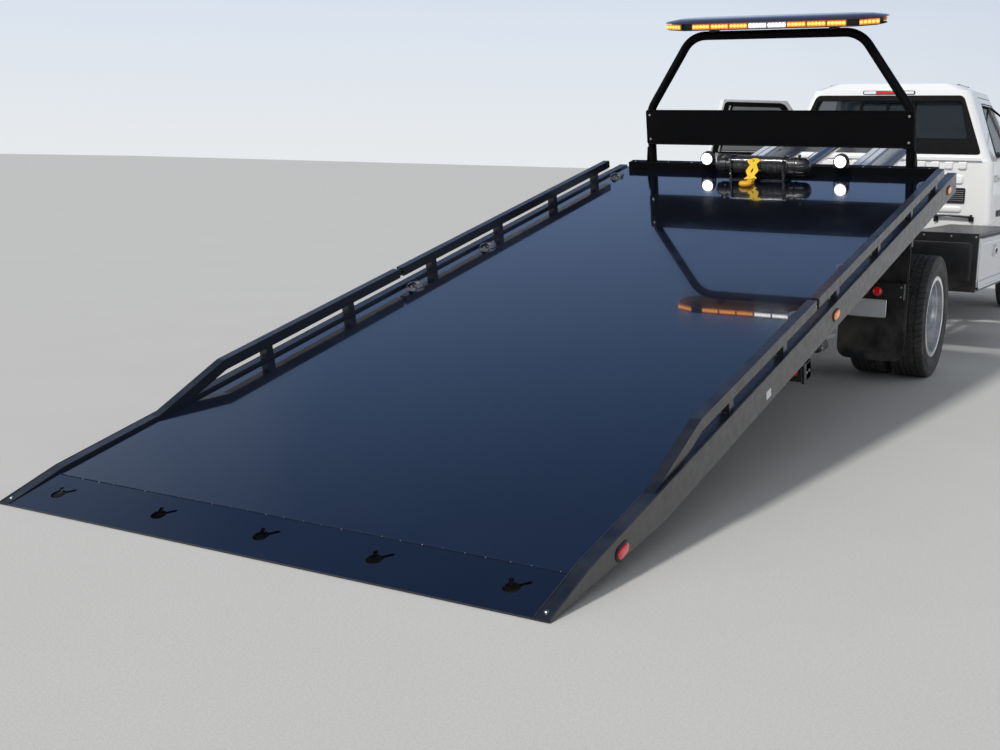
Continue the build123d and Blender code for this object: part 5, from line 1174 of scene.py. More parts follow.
def slide_details():
    """Gland, ports and hard lines of the slide cylinder."""
    parts = Shape(BED)
    h = -0.130
    parts.use("satin_black")
    parts.lathe([(-0.004, 0.034), (-0.004, 0.0455), (0.0, 0.047), (0.042, 0.047), (0.046, 0.0415),
                 (0.046, 0.034)], (BARREL_TAIL, 0, h), (1, 0, 0), 36)
    parts.use("bolt")
    for a in turns(6):
        parts.bolt((BARREL_TAIL - 0.004, 0.0385 * cos(a), h + 0.0385 * sin(a)), (-1, 0, 0), 0.0045,
                   washer=False)
    parts.use("steel")
    for y, reach in ((0.028, 0.12), (-0.028, 2.60)):
        parts.tube([(BARREL_TAIL + reach, y, h + 0.028), (BARREL_TAIL + reach, y * 1.05, h + 0.0375),
                    (BARREL_TAIL + reach + 0.03, y * 1.05, h + 0.041),
                    (SUB_FRONT - 0.10, y * 1.05, h + 0.041), (SUB_FRONT - 0.07, y * 1.05, h + 0.02)], 0.0042,
                   10)
        parts.lathe([(0, 0.011), (0.012, 0.011), (0.014, 0.007)], (BARREL_TAIL + reach, y, h + 0.026),
                    (0, 0, 1), 6)
    parts.made("slide_details", "subframe", "steel", smooth=40)


# Cab: places on its skin
class Skin:
    """Finds places on the surface of CAD nodes."""

    def __init__(self, *owners):
        points, faces = [], []
        for owner in owners:
            mesh = nodes[owner].data
            first = len(points)
            points += [v.co.copy() for v in mesh.vertices]
            faces += [[first + i for i in polygon.vertices] for polygon in mesh.polygons]
        self.tree = BVHTree.FromPolygons(points, faces)

    def hit(self, start, towards, lift=0.0):
        """Place where a ray meets the surface, lifted back along the ray."""
        towards = Vector(towards).normalized()
        place = self.tree.ray_cast(Vector(start), towards)[0]
        return None if place is None else place - towards * lift


def band(shape, skin, path, axis, start, towards, width, low, high, closed=False):
    """A flat strip along a path on a skin, axis being the direction it is laid in."""
    path = [Vector(p) for p in path]
    count = len(path)
    rings = []
    for i, p in enumerate(path):
        before = path[(i - 1) % count] if closed or i else p
        after = path[(i + 1) % count] if closed or i < count - 1 else p
        ahead = (after - before).normalized()
        aside = Vector((-ahead.y, ahead.x)) * (width / 2)
        ring = []
        for shift, lift in ((-1, low), (-1, high * 0.6), (-0.7, high), (0.7, high), (1, high * 0.6),
                            (1, low)):
            q = p + aside * shift
            ring.append(skin.hit([*q[:axis], start, *q[axis:]], towards, lift))
        rings.append(ring)
    return shape.loops(rings, closed_path=closed)


REAR_WALL = Matrix(((0, 0.1382, -1, 8.606), (1, 0, 0, 0), (0, 1, 0, 0), (0, 0, 0, 1)))
LOW_WALL = Matrix(((0, 0.00926, -1, 8.7917), (1, 0, 0, 0), (0, 1, 0, 0), (0, 0, 0, 1)))


def tapered(low_z, low_half, high_z, high_half, radius, steps=5):
    """Outline of a window that narrows upwards, with round corners."""
    corners = [Vector((-low_half, low_z)), Vector((low_half, low_z)), Vector((high_half, high_z)),
               Vector((-high_half, high_z))]
    return round_off(corners, radius, steps)


def round_off(corners, radius, steps=5):
    """Rounds the corners of a closed outline."""
    points = []
    count = len(corners)
    for i, corner in enumerate(corners):
        corner = Vector(corner)
        back = (Vector(corners[i - 1]) - corner).normalized()
        on = (Vector(corners[(i + 1) % count]) - corner).normalized()
        start, stop = corner + back * radius, corner + on * radius
        for k in range(steps + 1):
            t = k / steps
            points.append(tuple((1 - t) ** 2 * start + 2 * t * (1 - t) * corner + t * t * stop))
    return points


def frame_ring(shape, outer, inner, low, high):
    """A flat frame between two outlines of as many points; the third direction is its height."""
    return shape.stack(2, ((low, outer), (high, outer), (high, inner), (low, inner)), closed_path=True)


def cab_rear():
    """Back of the cab: window, sliding panes, brake lamp, ledge, pads, vents and hoses."""
    wall = Shape(REAR_WALL)
    wall.use("seal")
    frame_ring(wall, tapered(1.495, 0.849, 2.010, 0.652, 0.045), tapered(1.628, 0.722, 1.962, 0.640, 0.035),
               -0.0165, 0.0022)
    wall.use("sign")
    frame_ring(wall, tapered(1.626, 0.724, 1.964, 0.642, 0.035), tapered(1.634, 0.716, 1.957, 0.634, 0.032),
               -0.017, 0.0006)
    for y in (-0.237, 0.237):
        wall.box((y - 0.011, 1.628, -0.016), (y + 0.011, 1.962, -0.001))
    wall.box((-0.012, 1.634, -0.0165), (0.012, 1.957, -0.006))
    for z in (1.641, 1.949):
        wall.box((-0.237, z - 0.008, -0.016), (0.237, z + 0.008, -0.004))
    wall.use("trim").box((0.018, 1.76, -0.006), (0.038, 1.83, 0.0))
    wall.use("seal")
    wall.prism(rounded(-0.232, 2.0175, 0.232, 2.0525, 0.014), 2, -0.006, 0.004)
    wall.use("clear")
    for y0, y1 in ((-0.222, -0.112), (0.112, 0.222)):
        wall.prism(rounded(y0, 2.0225, y1, 2.0475, 0.008), 2, 0.0, 0.009)
    wall.use("red").prism(rounded(-0.106, 2.0225, 0.106, 2.0475, 0.006), 2, 0.0, 0.0095)
    wall.made("cab_rear_window", "chassis", "trim_plastic", smooth=35, bevel=0.0015)

    low = Shape(LOW_WALL)
    low.use("white")
    low.prism([(-0.86, 1.443), (0.86, 1.443), (0.85, 1.470), (-0.85, 1.470)], 2, -0.004, 0.016)
    for side in (-1, 1):
        for y in (0.10, 0.237, 0.349, 0.467, 0.585, 0.701):
            pad = rounded(side * y - 0.038, 1.365, side * y + 0.038, 1.432, 0.014)
            inner = rounded(side * y - 0.029, 1.374, side * y + 0.029, 1.423, 0.010)
            low.stack(2, ((-0.002, pad), (0.004, pad), (0.016, inner)), cap_start=False)
        for z0, z1 in ((0.985, 1.045), (1.235, 1.32)):
            pad = rounded(side * 0.42 - 0.30, z0, side * 0.42 + 0.30, z1, 0.025)
            inner = rounded(side * 0.42 - 0.288, z0 + 0.012, side * 0.42 + 0.288, z1 - 0.012, 0.018)
            low.stack(2, ((-0.002, pad), (0.003, pad), (0.012, inner)), cap_start=False)
    low.made("cab_rear_pressings", "chassis", "cab_white", smooth=40, bevel=0.0015)

    vents = Shape(LOW_WALL)
    for side in (-1, 1):
        y0, y1 = across(side, 0.576, 0.741)
        vents.use("trim")
        outer = rounded(y0, 1.071, y1, 1.206, 0.012)
        inner = rounded(y0 + 0.012, 1.083, y1 - 0.012, 1.194, 0.008)
        frame_ring(vents, outer, inner, -0.002, 0.008)
        vents.prism(inner, 2, -0.001, 0.0012)
        # Painted highlight: the black vent's slats get the bright silver look, which stands in for the light
        # on their edges.
        vents.use("silver_and_highlight")
        for k in range(6):
            z = 1.091 + k * 0.0175
            vents.loops([[(y0 + 0.011, low_z, 0.001), (y1 - 0.011, low_z, 0.001),
                          (y1 - 0.011, high_z, 0.0075), (y0 + 0.011, high_z, 0.0075)]
                         for low_z, high_z in ((z, z + 0.004), (z + 0.003, z + 0.007))])
        vents.use("rail")
        for z, y in ((0.93, 0.51), (0.936, 0.81)):
            vents.box((side * y - 0.02, z - 0.02, 0.0), (side * y + 0.02, z + 0.02, 0.012))
            vents.use("bolt").bolt((side * y, z, 0.012), (0, 0, 1), 0.008).use("rail")
        vents.tube([(side * 0.51, 0.955, 0.022), (side * 0.60, 0.965, 0.028), (side * 0.72, 0.958, 0.026),
                    (side * 0.81, 0.955, 0.022)], 0.011, 12)
        vents.box((side * 0.51 - 0.009, 0.93, 0.008), (side * 0.51 + 0.009, 0.975, 0.034))
        vents.box((side * 0.81 - 0.009, 0.93, 0.008), (side * 0.81 + 0.009, 0.975, 0.034))
        vents.use("trim")
        vents.prism(rounded(side * 0.30 - 0.028, 0.85, side * 0.30 + 0.028, 0.905, 0.012), 2, -0.002, 0.006)
        vents.lathe([(0.0, 0.017), (0.012, 0.015), (0.02, 0.010)], (side * 0.30, 0.878, 0.0), (0, 0, 1), 20)
    vents.made("cab_vents", "chassis", "trim_plastic", smooth=40)


def cab_roof():
    """Ditch mouldings and roof marker lamps."""
    skin = Skin("cab")
    roof = Shape().use("seal")
    for side in (-1, 1):
        path = [(9.02 + 0.05 * k, side * (0.60 - 0.006 * abs(k - 5.5))) for k in range(12)]
        band(roof, skin, path, 2, 3.0, (0, 0, -1), 0.014, -0.002, 0.002)
    for y in (-0.47, -0.16, 0.0, 0.16, 0.47):
        base = skin.hit((9.52, y, 3.0), (0, 0, -1))
        roof.use("trim")
        outline = rounded(-0.05, -0.022, 0.05, 0.022, 0.0215, 5)
        roof.loops([[base + Vector((a, b, level)) for a, b in ((x * k, z * k) for x, z in outline)] for level,
                    k in ((-0.004, 1.08), (0.003, 1.08), (0.006, 1.0))])
        roof.use("amber")
        roof.loops([[base + Vector((x * k - 0.004 * level / 0.02, z * k, level)) for x, z in outline]
                    for level, k in ((0.004, 0.97), (0.012, 0.9), (0.019, 0.66), (0.022, 0.3))])
    roof.made("cab_roof_fittings", "chassis", "lamp_lens", smooth=45)


# Doors, built closed on the right and mirrored; the left one is turned open
def door_frame(side):
    """Where a door's details go."""
    if side < 0:
        return WORLD
    pivot = Matrix.Translation((10.283, 0.987, 0))
    return pivot @ Matrix.Rotation(radians(-55), 4, "Z") @ pivot.inverted() @ Matrix.Diagonal((1, -1, 1, 1))


WINDOW = [(9.190, 1.495), (10.130, 1.495), (9.750, 1.940), (9.240, 1.940)]
DOOR_EDGE = [(9.080, 0.870), (10.277, 0.870), (10.277, 1.450), (9.750, 1.988), (9.151, 1.988), (9.083, 1.440)]


def lining(z):
    """Where the inner face of the closed right door lies at a height."""
    if z < 0.9:
        return -0.893
    return -0.895 + 0.037 * (z - 0.9) if z < 1.44 else -0.880 + 0.398 * (z - 1.44)


def grown(corners, by):
    """An outline moved outwards, or inwards if by is negative."""
    count = len(corners)
    out = []
    for i, corner in enumerate(corners):
        corner = Vector(corner)
        a = (corner - Vector(corners[i - 1])).normalized()
        b = (Vector(corners[(i + 1) % count]) - corner).normalized()
        first, second = Vector((a.y, -a.x)), Vector((b.y, -b.x))
        middle = (first + second).normalized()
        out.append(tuple(corner + middle * (by / max(0.3, middle.dot(first)))))
    return out


OUTSIDE, INSIDE = (-2.0, (0, 1, 0)), (0.0, (0, -1, 0))


def door_seals(turn, name, body, skin):
    """Rubber round the glass on both faces, round the window's frame and round the door's inner edge."""
    seal = Shape(turn).use("seal")
    for start, towards in (OUTSIDE, INSIDE):
        outer, inner = round_off(grown(WINDOW, 0.016), 0.03), round_off(grown(WINDOW, -0.006), 0.02)
        rings = []
        for outline, lift in ((outer, -0.002), (outer, 0.0035), (inner, 0.0035), (inner, -0.012)):
            ring = []
            for (x, z), (ox, oz) in zip(outline, outer):
                ring.append((x, skin.hit((ox, start, oz), towards, lift).y, z))
            rings.append(ring)
        seal.loops(rings, closed_path=True)
    around = round_off([(9.098, 1.480), (10.232, 1.480), (9.742, 1.974), (9.160, 1.974)], 0.03)
    within = round_off(grown(WINDOW, 0.032), 0.04)
    outer = round_off(grown(DOOR_EDGE, -0.012), 0.03)
    inner = round_off(grown(DOOR_EDGE, -0.046), 0.03)
    for wide, narrow, high, low in ((around, within, 0.008, 0.006), (outer, inner, 0.006, 0.010)):
        seal.loops([[(x, lining(z) + lift, z) for x, z in outline] for outline, lift in
                    ((wide, -0.002), (wide, high), (narrow, low), (narrow, -0.002))], closed_path=True)
    seal.made(f"door_seals_{name}", body, "trim_plastic", smooth=40)


def door_trim(turn, name, body, skin):
    """Inner panel with its arm rest, cloth insert, speaker, pocket and pull."""
    trim = Shape(turn).use("trim")
    panel = round_off([(9.13, 0.872), (10.20, 0.872), (10.21, 1.40), (10.16, 1.455), (9.16, 1.47)], 0.05)
    mx, mz = 9.67, 1.16
    base = []
    for lift, k in ((-0.001, 1.0), (0.012, 1.0), (0.018, 0.985)):
        ring = []
        for x, z in panel:
            place = skin.hit((x, 0.0, z), (0, -1, 0), lift)
            ring.append((mx + (x - mx) * k, place.y, mz + (z - mz) * k))
        base.append(ring)
    trim.loops(base)
    depth = skin.hit((9.6, 0.0, 1.12), (0, -1, 0)).y
    foot = depth + 0.012
    arm = [(foot, 1.10), (depth + 0.075, 1.125), (depth + 0.082, 1.15), (depth + 0.070, 1.168), (foot, 1.175)]
    trim.stack(0, [(x, about(arm, (foot, 1.14), k)) for x, k in
                   ((9.28, 0.45), (9.31, 0.85), (9.40, 1.0), (9.86, 1.0), (9.95, 0.8), (9.99, 0.4))])
    trim.use("cloth")
    trim.stack(0, [(x, [(depth + low, 1.235), (depth + high, 1.25), (depth + high, 1.36),
                        (depth + low, 1.375)])
                   for x, low, high in ((9.26, 0.016, 0.024), (9.30, 0.018, 0.031),
                                        (10.02, 0.018, 0.031), (10.06, 0.016, 0.024))])
    trim.use("trim")
    trim.lathe([(0, 0.088), (0.008, 0.088), (0.010, 0.08), (0.007, 0.072), (0.012, 0.02), (0.013, 0.004)],
               (10.03, depth + 0.016, 0.985), (0, 1, 0), 40)
    for k in range(5):
        trim.lathe([(0, 0.018 + 0.013 * k), (0.003, 0.0185 + 0.013 * k), (0.003, 0.0215 + 0.013 * k),
                    (0, 0.022 + 0.013 * k)], (10.03, depth + 0.025, 0.985), (0, 1, 0), 32, closed=True)
    pocket = [(9.20, 0.90), (9.86, 0.90), (9.84, 1.03), (9.22, 1.03)]
    trim.stack(1, [(depth + rise, round_off(outline, 0.03)) for rise, outline in
                   ((0.014, pocket), (0.042, pocket), (0.046, grown(pocket, -0.008)),
                    (0.030, grown(pocket, -0.014)))])
    pull = round_off(quad(9.82, 1.20, 9.95, 1.232), 0.008, 3)
    trim.use("polished").stack(1, [(depth + rise, pull) for rise in (0.014, 0.03)])
    trim.made(f"door_trim_{name}", body, "trim_plastic", smooth=38, bevel=0.0015)


def door_outside(turn, name, body, skin):
    """Handle in its recess, lock, and two strips along the door."""
    out = Shape(turn)
    skin_y = skin.hit((9.17, OUTSIDE[0], 1.29), OUTSIDE[1]).y
    recess = round_off(quad(9.095, 1.262, 9.235, 1.322), 0.022)
    out.use("sign").prism(recess, 1, skin_y - 0.0005, skin_y + 0.012)
    out.use("white")
    grip = []
    for x, bulge, half in ((9.102, 0.002, 0.010), (9.110, 0.022, 0.015), (9.13, 0.034, 0.017),
                           (9.17, 0.038, 0.018), (9.20, 0.034, 0.017), (9.222, 0.020, 0.015),
                           (9.229, 0.002, 0.010)):
        grip.append([(x, skin_y - bulge - 0.010 * cos(t), 1.293 + half * sin(t)) for t in turns(14)])
    out.loops(grip)
    out.use("polished").lathe([(0, 0.012), (0.004, 0.0115), (0.005, 0.008), (0.003, 0.003)],
                              (9.265, skin_y - 0.0005, 1.29), (0, -1, 0), 24)
    out.use("trim")
    arch = [(9.08, 0.985), (9.4, 0.99), (9.8, 0.99), (10.24, 0.985)]
    band(out, skin, arch, 1, *OUTSIDE, 0.055, -0.002, 0.010)
    out.use("white")
    crease = [(x, 0.72) for x in (9.07, 9.4, 9.8, 10.26)]
    band(out, skin, crease, 1, *OUTSIDE, 0.016, -0.002, 0.004)
    out.made(f"door_outside_{name}", body, "cab_white", smooth=40)


def door_mirror(turn, name, body):
    """Mirror head with two glasses, arms and a marker lamp, over the door's own."""
    head = Shape(turn).use("trim")
    middle = (-1.145, 1.635)
    outline = round_off(quad(-1.2445, 1.463, -1.0455, 1.807), 0.012, 5)
    head.stack(0, [(x, about(outline, middle, k)) for x, k in
                   ((10.108, 0.97), (10.105, 1.0), (10.135, 1.006), (10.175, 1.004), (10.201, 0.995),
                    (10.212, 0.93), (10.219, 0.70), (10.222, 0.35))])
    head.use("sign")
    for z0, z1 in ((1.575, 1.786), (1.484, 1.560)):
        glass = round_off(quad(-1.226, z0, -1.064, z1), 0.02, 4)
        head.use("seal").prism(glass, 0, 10.1035, 10.109)
        inner = round_off(quad(-1.220, z0 + 0.006, -1.070, z1 - 0.006), 0.016, 4)
        head.use("mirror").prism(inner, 0, 10.1022, 10.106)
    head.use("trim")
    for z in (1.53, 1.575):
        head.tube([(10.145, -0.955, z - 0.01), (10.148, -1.0, z - 0.006), (10.150, -1.06, z)], 0.0135, 12)
    head.loops([[(10.150 + a, y, 1.545 + b) for a, b in rounded(-0.05, -0.06, 0.05, 0.06, 0.03)] for y in
                (-0.948, -0.972)])
    head.use("amber").prism(round_off(quad(-1.238, 1.60, -1.218, 1.70), 0.008,
                                      3), 0, 10.186, 10.197)
    head.made(f"mirror_{name}", body, "trim_plastic", smooth=45)


def door_pieces():
    """Seals, inner trim, outer parts and mirror of both doors."""
    skin = Skin("door_right")
    for name, side in (("left", 1), ("right", -1)):
        body = f"door_{name}"
        turn = door_frame(side)
        door_seals(turn, name, body, skin)
        door_trim(turn, name, body, skin)
        door_outside(turn, name, body, skin)
        door_mirror(turn, name, body)


def windscreen_details():
    """Rubber and black border of the windscreen, wipers and cowl grille."""
    skin = Skin("cab", "cab_glass")
    glass = Shape().use("seal")
    corners = [(-0.790, 1.490), (0.790, 1.490), (0.600, 1.990), (-0.600, 1.990)]
    outer, inner = round_off(grown(corners, 0.022), 0.05), round_off(grown(corners, -0.028), 0.05)
    rings = []
    for outline, lift in ((outer, -0.003), (outer, 0.004), (inner, 0.0045), (inner, -0.024)):
        ring = []
        for (y, z), (oy, oz) in zip(outline, outer):
            place = skin.hit((12.0, oy, oz), (-1, 0, 0))
            ring.append((place.x - 1.2325 * (z - oz) + lift, y, z))
        rings.append(ring)
    glass.loops(rings, closed_path=True)
    glass.made("windscreen_rubber", "chassis", "trim_plastic", smooth=45)

    def on_glass(y, z, lift):
        place = skin.hit((12.0, y, z), (-1, 0, 0))
        return Vector((place.x, y, z)) + Vector((0.63, 0, 0.78)) * lift

    wipers = Shape().use("sign")
    for pivot_y, tip_y, tip_z in ((0.52, -0.02, 1.565), (-0.12, -0.66, 1.560)):
        pivot = Vector((10.455, pivot_y, 1.478))
        wipers.lathe([(-0.02, 0.016), (0.012, 0.016), (0.018, 0.012), (0.02, 0.004)], pivot, (0.4, 0, 0.9),
                     20)
        blade_mid = on_glass((pivot_y + tip_y) / 2 - 0.05, (1.51 + tip_z) / 2, 0.028)
        wipers.tube([pivot + Vector((0, 0, 0.014)), pivot.lerp(blade_mid, 0.5) + Vector((0.006, 0, 0.012)),
                     blade_mid], 0.0065, 8)
        blade = []
        for k in range(9):
            t = k / 8
            y, z = pivot_y - 0.08 + (tip_y - pivot_y - 0.04) * t, 1.505 + (tip_z - 1.505) * t
            blade.append(on_glass(y, z, 0.010))
        wipers.tube(blade, 0.0045, 6)
        wipers.tube([p + Vector((0.006, 0, 0.007)) for p in blade[1:-1]], 0.0055, 6)
    wipers.made("wipers", "chassis", "trim_plastic", smooth=45)

    cowl = Shape().use("trim")
    level = skin.hit((10.46, 0.0, 3.0), (0, 0, -1)).z
    for k in range(26):
        y = -0.70 + 1.40 * k / 25
        cowl.box((10.425, y - 0.009, level - 0.004), (10.492, y + 0.009, level + 0.004))
    cowl.box((10.420, -0.74, level - 0.006), (10.426, 0.74, level + 0.006))
    cowl.box((10.490, -0.74, level - 0.006), (10.496, 0.74, level + 0.006))
    cowl.made("cowl_grille", "chassis", "trim_plastic", smooth=35)


# Front end
def grille_piece():
    """Grille: bright surround, three bars and a dark mesh."""
    grille = Shape().use("sign")
    grille.prism(rounded(-0.515, 0.905, 0.515, 1.195, 0.03), 0, 11.6, 11.632)
    grille.use("trim")
    for row in range(13):
        z = 0.925 + row * 0.021
        for column in range(33):
            y = -0.495 + column * 0.031 + (0.0155 if row % 2 else 0.0)
            if abs(y) < 0.49:
                grille.loops([[(11.632 + k * 0.007, y + 0.0125 * cos(t), z + 0.0085 * sin(t)) for t in
                               turns(6)] for k in (0.0, 1.0)], cap_start=False, cap_end=False)
    grille.use("polished")
    outer, inner = rounded(-0.519, 0.901, 0.519, 1.199, 0.034), rounded(-0.485, 0.932, 0.485, 1.168, 0.02)
    crest = rounded(-0.505, 0.913, 0.505, 1.187, 0.03)
    grille.stack(0, ((11.625, outer), (11.648, outer), (11.6535, crest), (11.648, inner), (11.63, inner)),
                 closed_path=True)
    for z in (0.985, 1.05, 1.115):
        grille.loops([[(11.635, y, z - 0.017), (11.651, y, z - 0.014), (11.6545, y, z),
                       (11.651, y, z + 0.014), (11.635, y, z + 0.017)] for y in (-0.49, 0.49)])
    grille.made("grille_piece", "chassis", "trim_plastic", smooth=30, bevel=0.001, replaces=("grille",))


def headlamp_pieces():
    """Headlamps: chrome bowl and projector behind a clear lens, with an amber corner."""
    lamps = Shape()
    for side in (-1, 1):
        y0, y1 = across(side, 0.562, 0.878)
        outline = rounded(y0, 0.922, y1, 1.178, 0.03)
        inner = rounded(y0 + 0.014, 0.936, y1 - 0.014, 1.164, 0.022)
        lamps.use("trim")
        lamps.stack(0, ((11.572, outline), (11.622, outline), (11.626, inner), (11.596, inner)),
                    closed_path=True)
        lamps.use("sign").prism(inner, 0, 11.574, 11.597)
        lamps.use("polished")
        for y, z, r in ((side * 0.665, 1.075, 0.074), (side * 0.668, 0.975, 0.030)):
            lamps.lathe([(0.0, r * 0.25), (0.002, r * 0.45), (0.008, r * 0.72), (0.020, r * 0.95),
                         (0.024, r)], (11.595, y, z), (1, 0, 0), 36)
            lamps.use("clear").lathe([(0.004, 0.008), (0.016, 0.010), (0.022, 0.006)], (11.595, y, z),
                                     (1, 0, 0), 16)
            lamps.use("polished")
        lamps.box((11.597, side * 0.8 - 0.055, 1.135), (11.612, side * 0.8 + 0.055, 1.15))
        lamps.use("amber")
        lamps.prism(rounded(side * 0.815 - 0.045, 0.945, side * 0.815 + 0.045, 1.12, 0.015), 0, 11.597,
                    11.612)
        for k in range(8):
            lamps.box((11.611, side * 0.815 - 0.04, 0.957 + k * 0.02),
                      (11.6155, side * 0.815 + 0.04, 0.967 + k * 0.02))
        lamps.use("lens")
        cover = rounded(y0 + 0.010, 0.932, y1 - 0.010, 1.168, 0.024)
        lamps.stack(0, [(x, about(cover, (side * 0.72, 1.05), k)) for x, k in
                        ((11.618, 1.0), (11.626, 0.985), (11.630, 0.93), (11.6315, 0.6), (11.6318, 0.2))])
    lamps.made("headlamp_pieces", "chassis", "head_lens", smooth=45, replaces=("headlamps",))


def bumper_details():
    """Bumper: step pads, air slot with bars, fog lamps, tow eyes and bolts."""
    bumper = Shape()
    skin = Skin("bumper")
    bumper.use("sign")
    bumper.prism(rounded(-0.40, 0.60, 0.40, 0.705, 0.035), 0, 11.80, 11.8085)
    bumper.use("trim")
    for k in range(4):
        bumper.box((11.803, -0.385, 0.618 + k * 0.0235), (11.8115, 0.385, 0.627 + k * 0.0235))
    frame_out, frame_in = rounded(-0.412, 0.588, 0.412, 0.717, 0.04), rounded(-0.398, 0.602, 0.398, 0.703,
                                                                              0.03)
    bumper.stack(0, ((11.800, frame_out), (11.8095, frame_out), (11.8095, frame_in), (11.800, frame_in)),
                 closed_path=True)
    for side in (-1, 1):
        bumper.use("trim")
        bumper.prism([(11.674, side * 0.20), (11.80, side * 0.20), (11.795, side * 0.84),
                      (11.674, side * 0.84)], 2, 0.8265, 0.8345)
        for k in range(20):
            y = side * (0.22 + k * 0.031)
            bumper.box((11.69, y - 0.006, 0.8335), (11.785, y + 0.006, 0.8375))
        centre = skin.hit((12.5, side * 0.66, 0.655), (-1, 0, 0)) or Vector((11.8, side * 0.66, 0.655))
        bumper.lathe([(-0.02, 0.052), (0.004, 0.052), (0.006, 0.047), (0.002, 0.043), (-0.02, 0.043)], centre,
                     (1, 0, 0), 36, closed=True)
        bumper.use("polished").lathe([(-0.018, 0.010), (-0.012, 0.03), (-0.002, 0.043)], centre, (1, 0, 0),
                                     28)
        bumper.use("clear").lathe([(-0.003, 0.0425), (0.001, 0.038), (0.003, 0.02), (0.0035, 0.003)], centre,
                                  (1, 0, 0), 28)
        bumper.use("sign")
        eye = Vector((11.795, side * 0.465, 0.565))
        bumper.tube([eye + Vector((0.004 + 0.020 * sin(t) if sin(t) > 0 else 0.004, 0.028 * cos(t),
                                   0.018 * sin(t))) for t in turns(20)], 0.008, 10, closed=True)
        bumper.use("bolt")
        for y, z in ((0.47, 0.78), (0.83, 0.78)):
            place = skin.hit((12.5, side * y, z), (-1, 0, 0))
            bumper.lathe([(0, 0.014), (0.003, 0.013), (0.006, 0.007)], place, (1, 0, 0), 18)
    bumper.made("bumper_details", "chassis", "trim_plastic", smooth=40)


def hood_details():
    """Hood: power bulges and washer jets."""
    skin = Skin("hood")
    hood = Shape().use("white")
    for side in (-1, 1):
        rings = []
        for x, half, lift in ((10.60, 0.05, 0.0), (10.66, 0.115, 0.012), (10.85, 0.14, 0.020),
                              (11.15, 0.135, 0.020), (11.38, 0.12, 0.013), (11.46, 0.07, 0.0)):
            ring = []
            for share, level in ((-1, -0.004), (-0.8, 0.75), (-0.4, 1.0), (0.4, 1.0), (0.8, 0.75),
                                 (1, -0.004)):
                y = side * 0.46 + share * half
                ring.append(skin.hit((x, y, 3.0), (0, 0, -1), lift * level if level > 0 else -0.003))
            rings.append(ring)
        hood.loops(rings)
    hood.use("seal")
    for y in (-0.25, 0.25):
        place = skin.hit((10.56, y, 3.0), (0, 0, -1))
        hood.lathe([(0, 0.013), (0.006, 0.012), (0.011, 0.007), (0.012, 0.002)], place, (0, 0, 1), 18)
    hood.made("hood_bulges", "hood", "cab_white", smooth=60)


def arch_lips():
    """Rolled lips round the front wheels' arches and the clearance lamps ahead of them."""
    skin = Skin("fenders")
    lips = Shape().use("white")
    for side in (-1, 1):
        path = []
        for degree in range(8, 173, 6):
            a = radians(degree)
            x, z = FRONT_AXLE + 0.508 * cos(a), WHEEL_HEIGHT + 0.508 * sin(a)
            place = skin.hit((x, side * 2.0, z), (0, -side, 0), 0.0015)
            if place is not None:
                path.append(place)
        lips.tube(path, 0.0085, 10)
    for side in (-1, 1):
        place = skin.hit((11.50, side * 2.0, 1.03), (0, -side, 0))
        step = Vector((0, side * 0.003, 0))
        lips.use("trim")
        oval_dome(lips, place - step, (0, side, 0), (1, 0, 0), (0, 0, 1), 0.115, 0.046, 0.008)
        lips.use("amber")
        oval_dome(lips, place + step, (0, side, 0), (1, 0, 0), (0, 0, 1), 0.098, 0.032, 0.011)
    lips.made("arch_lips", "chassis", "cab_white", smooth=50)


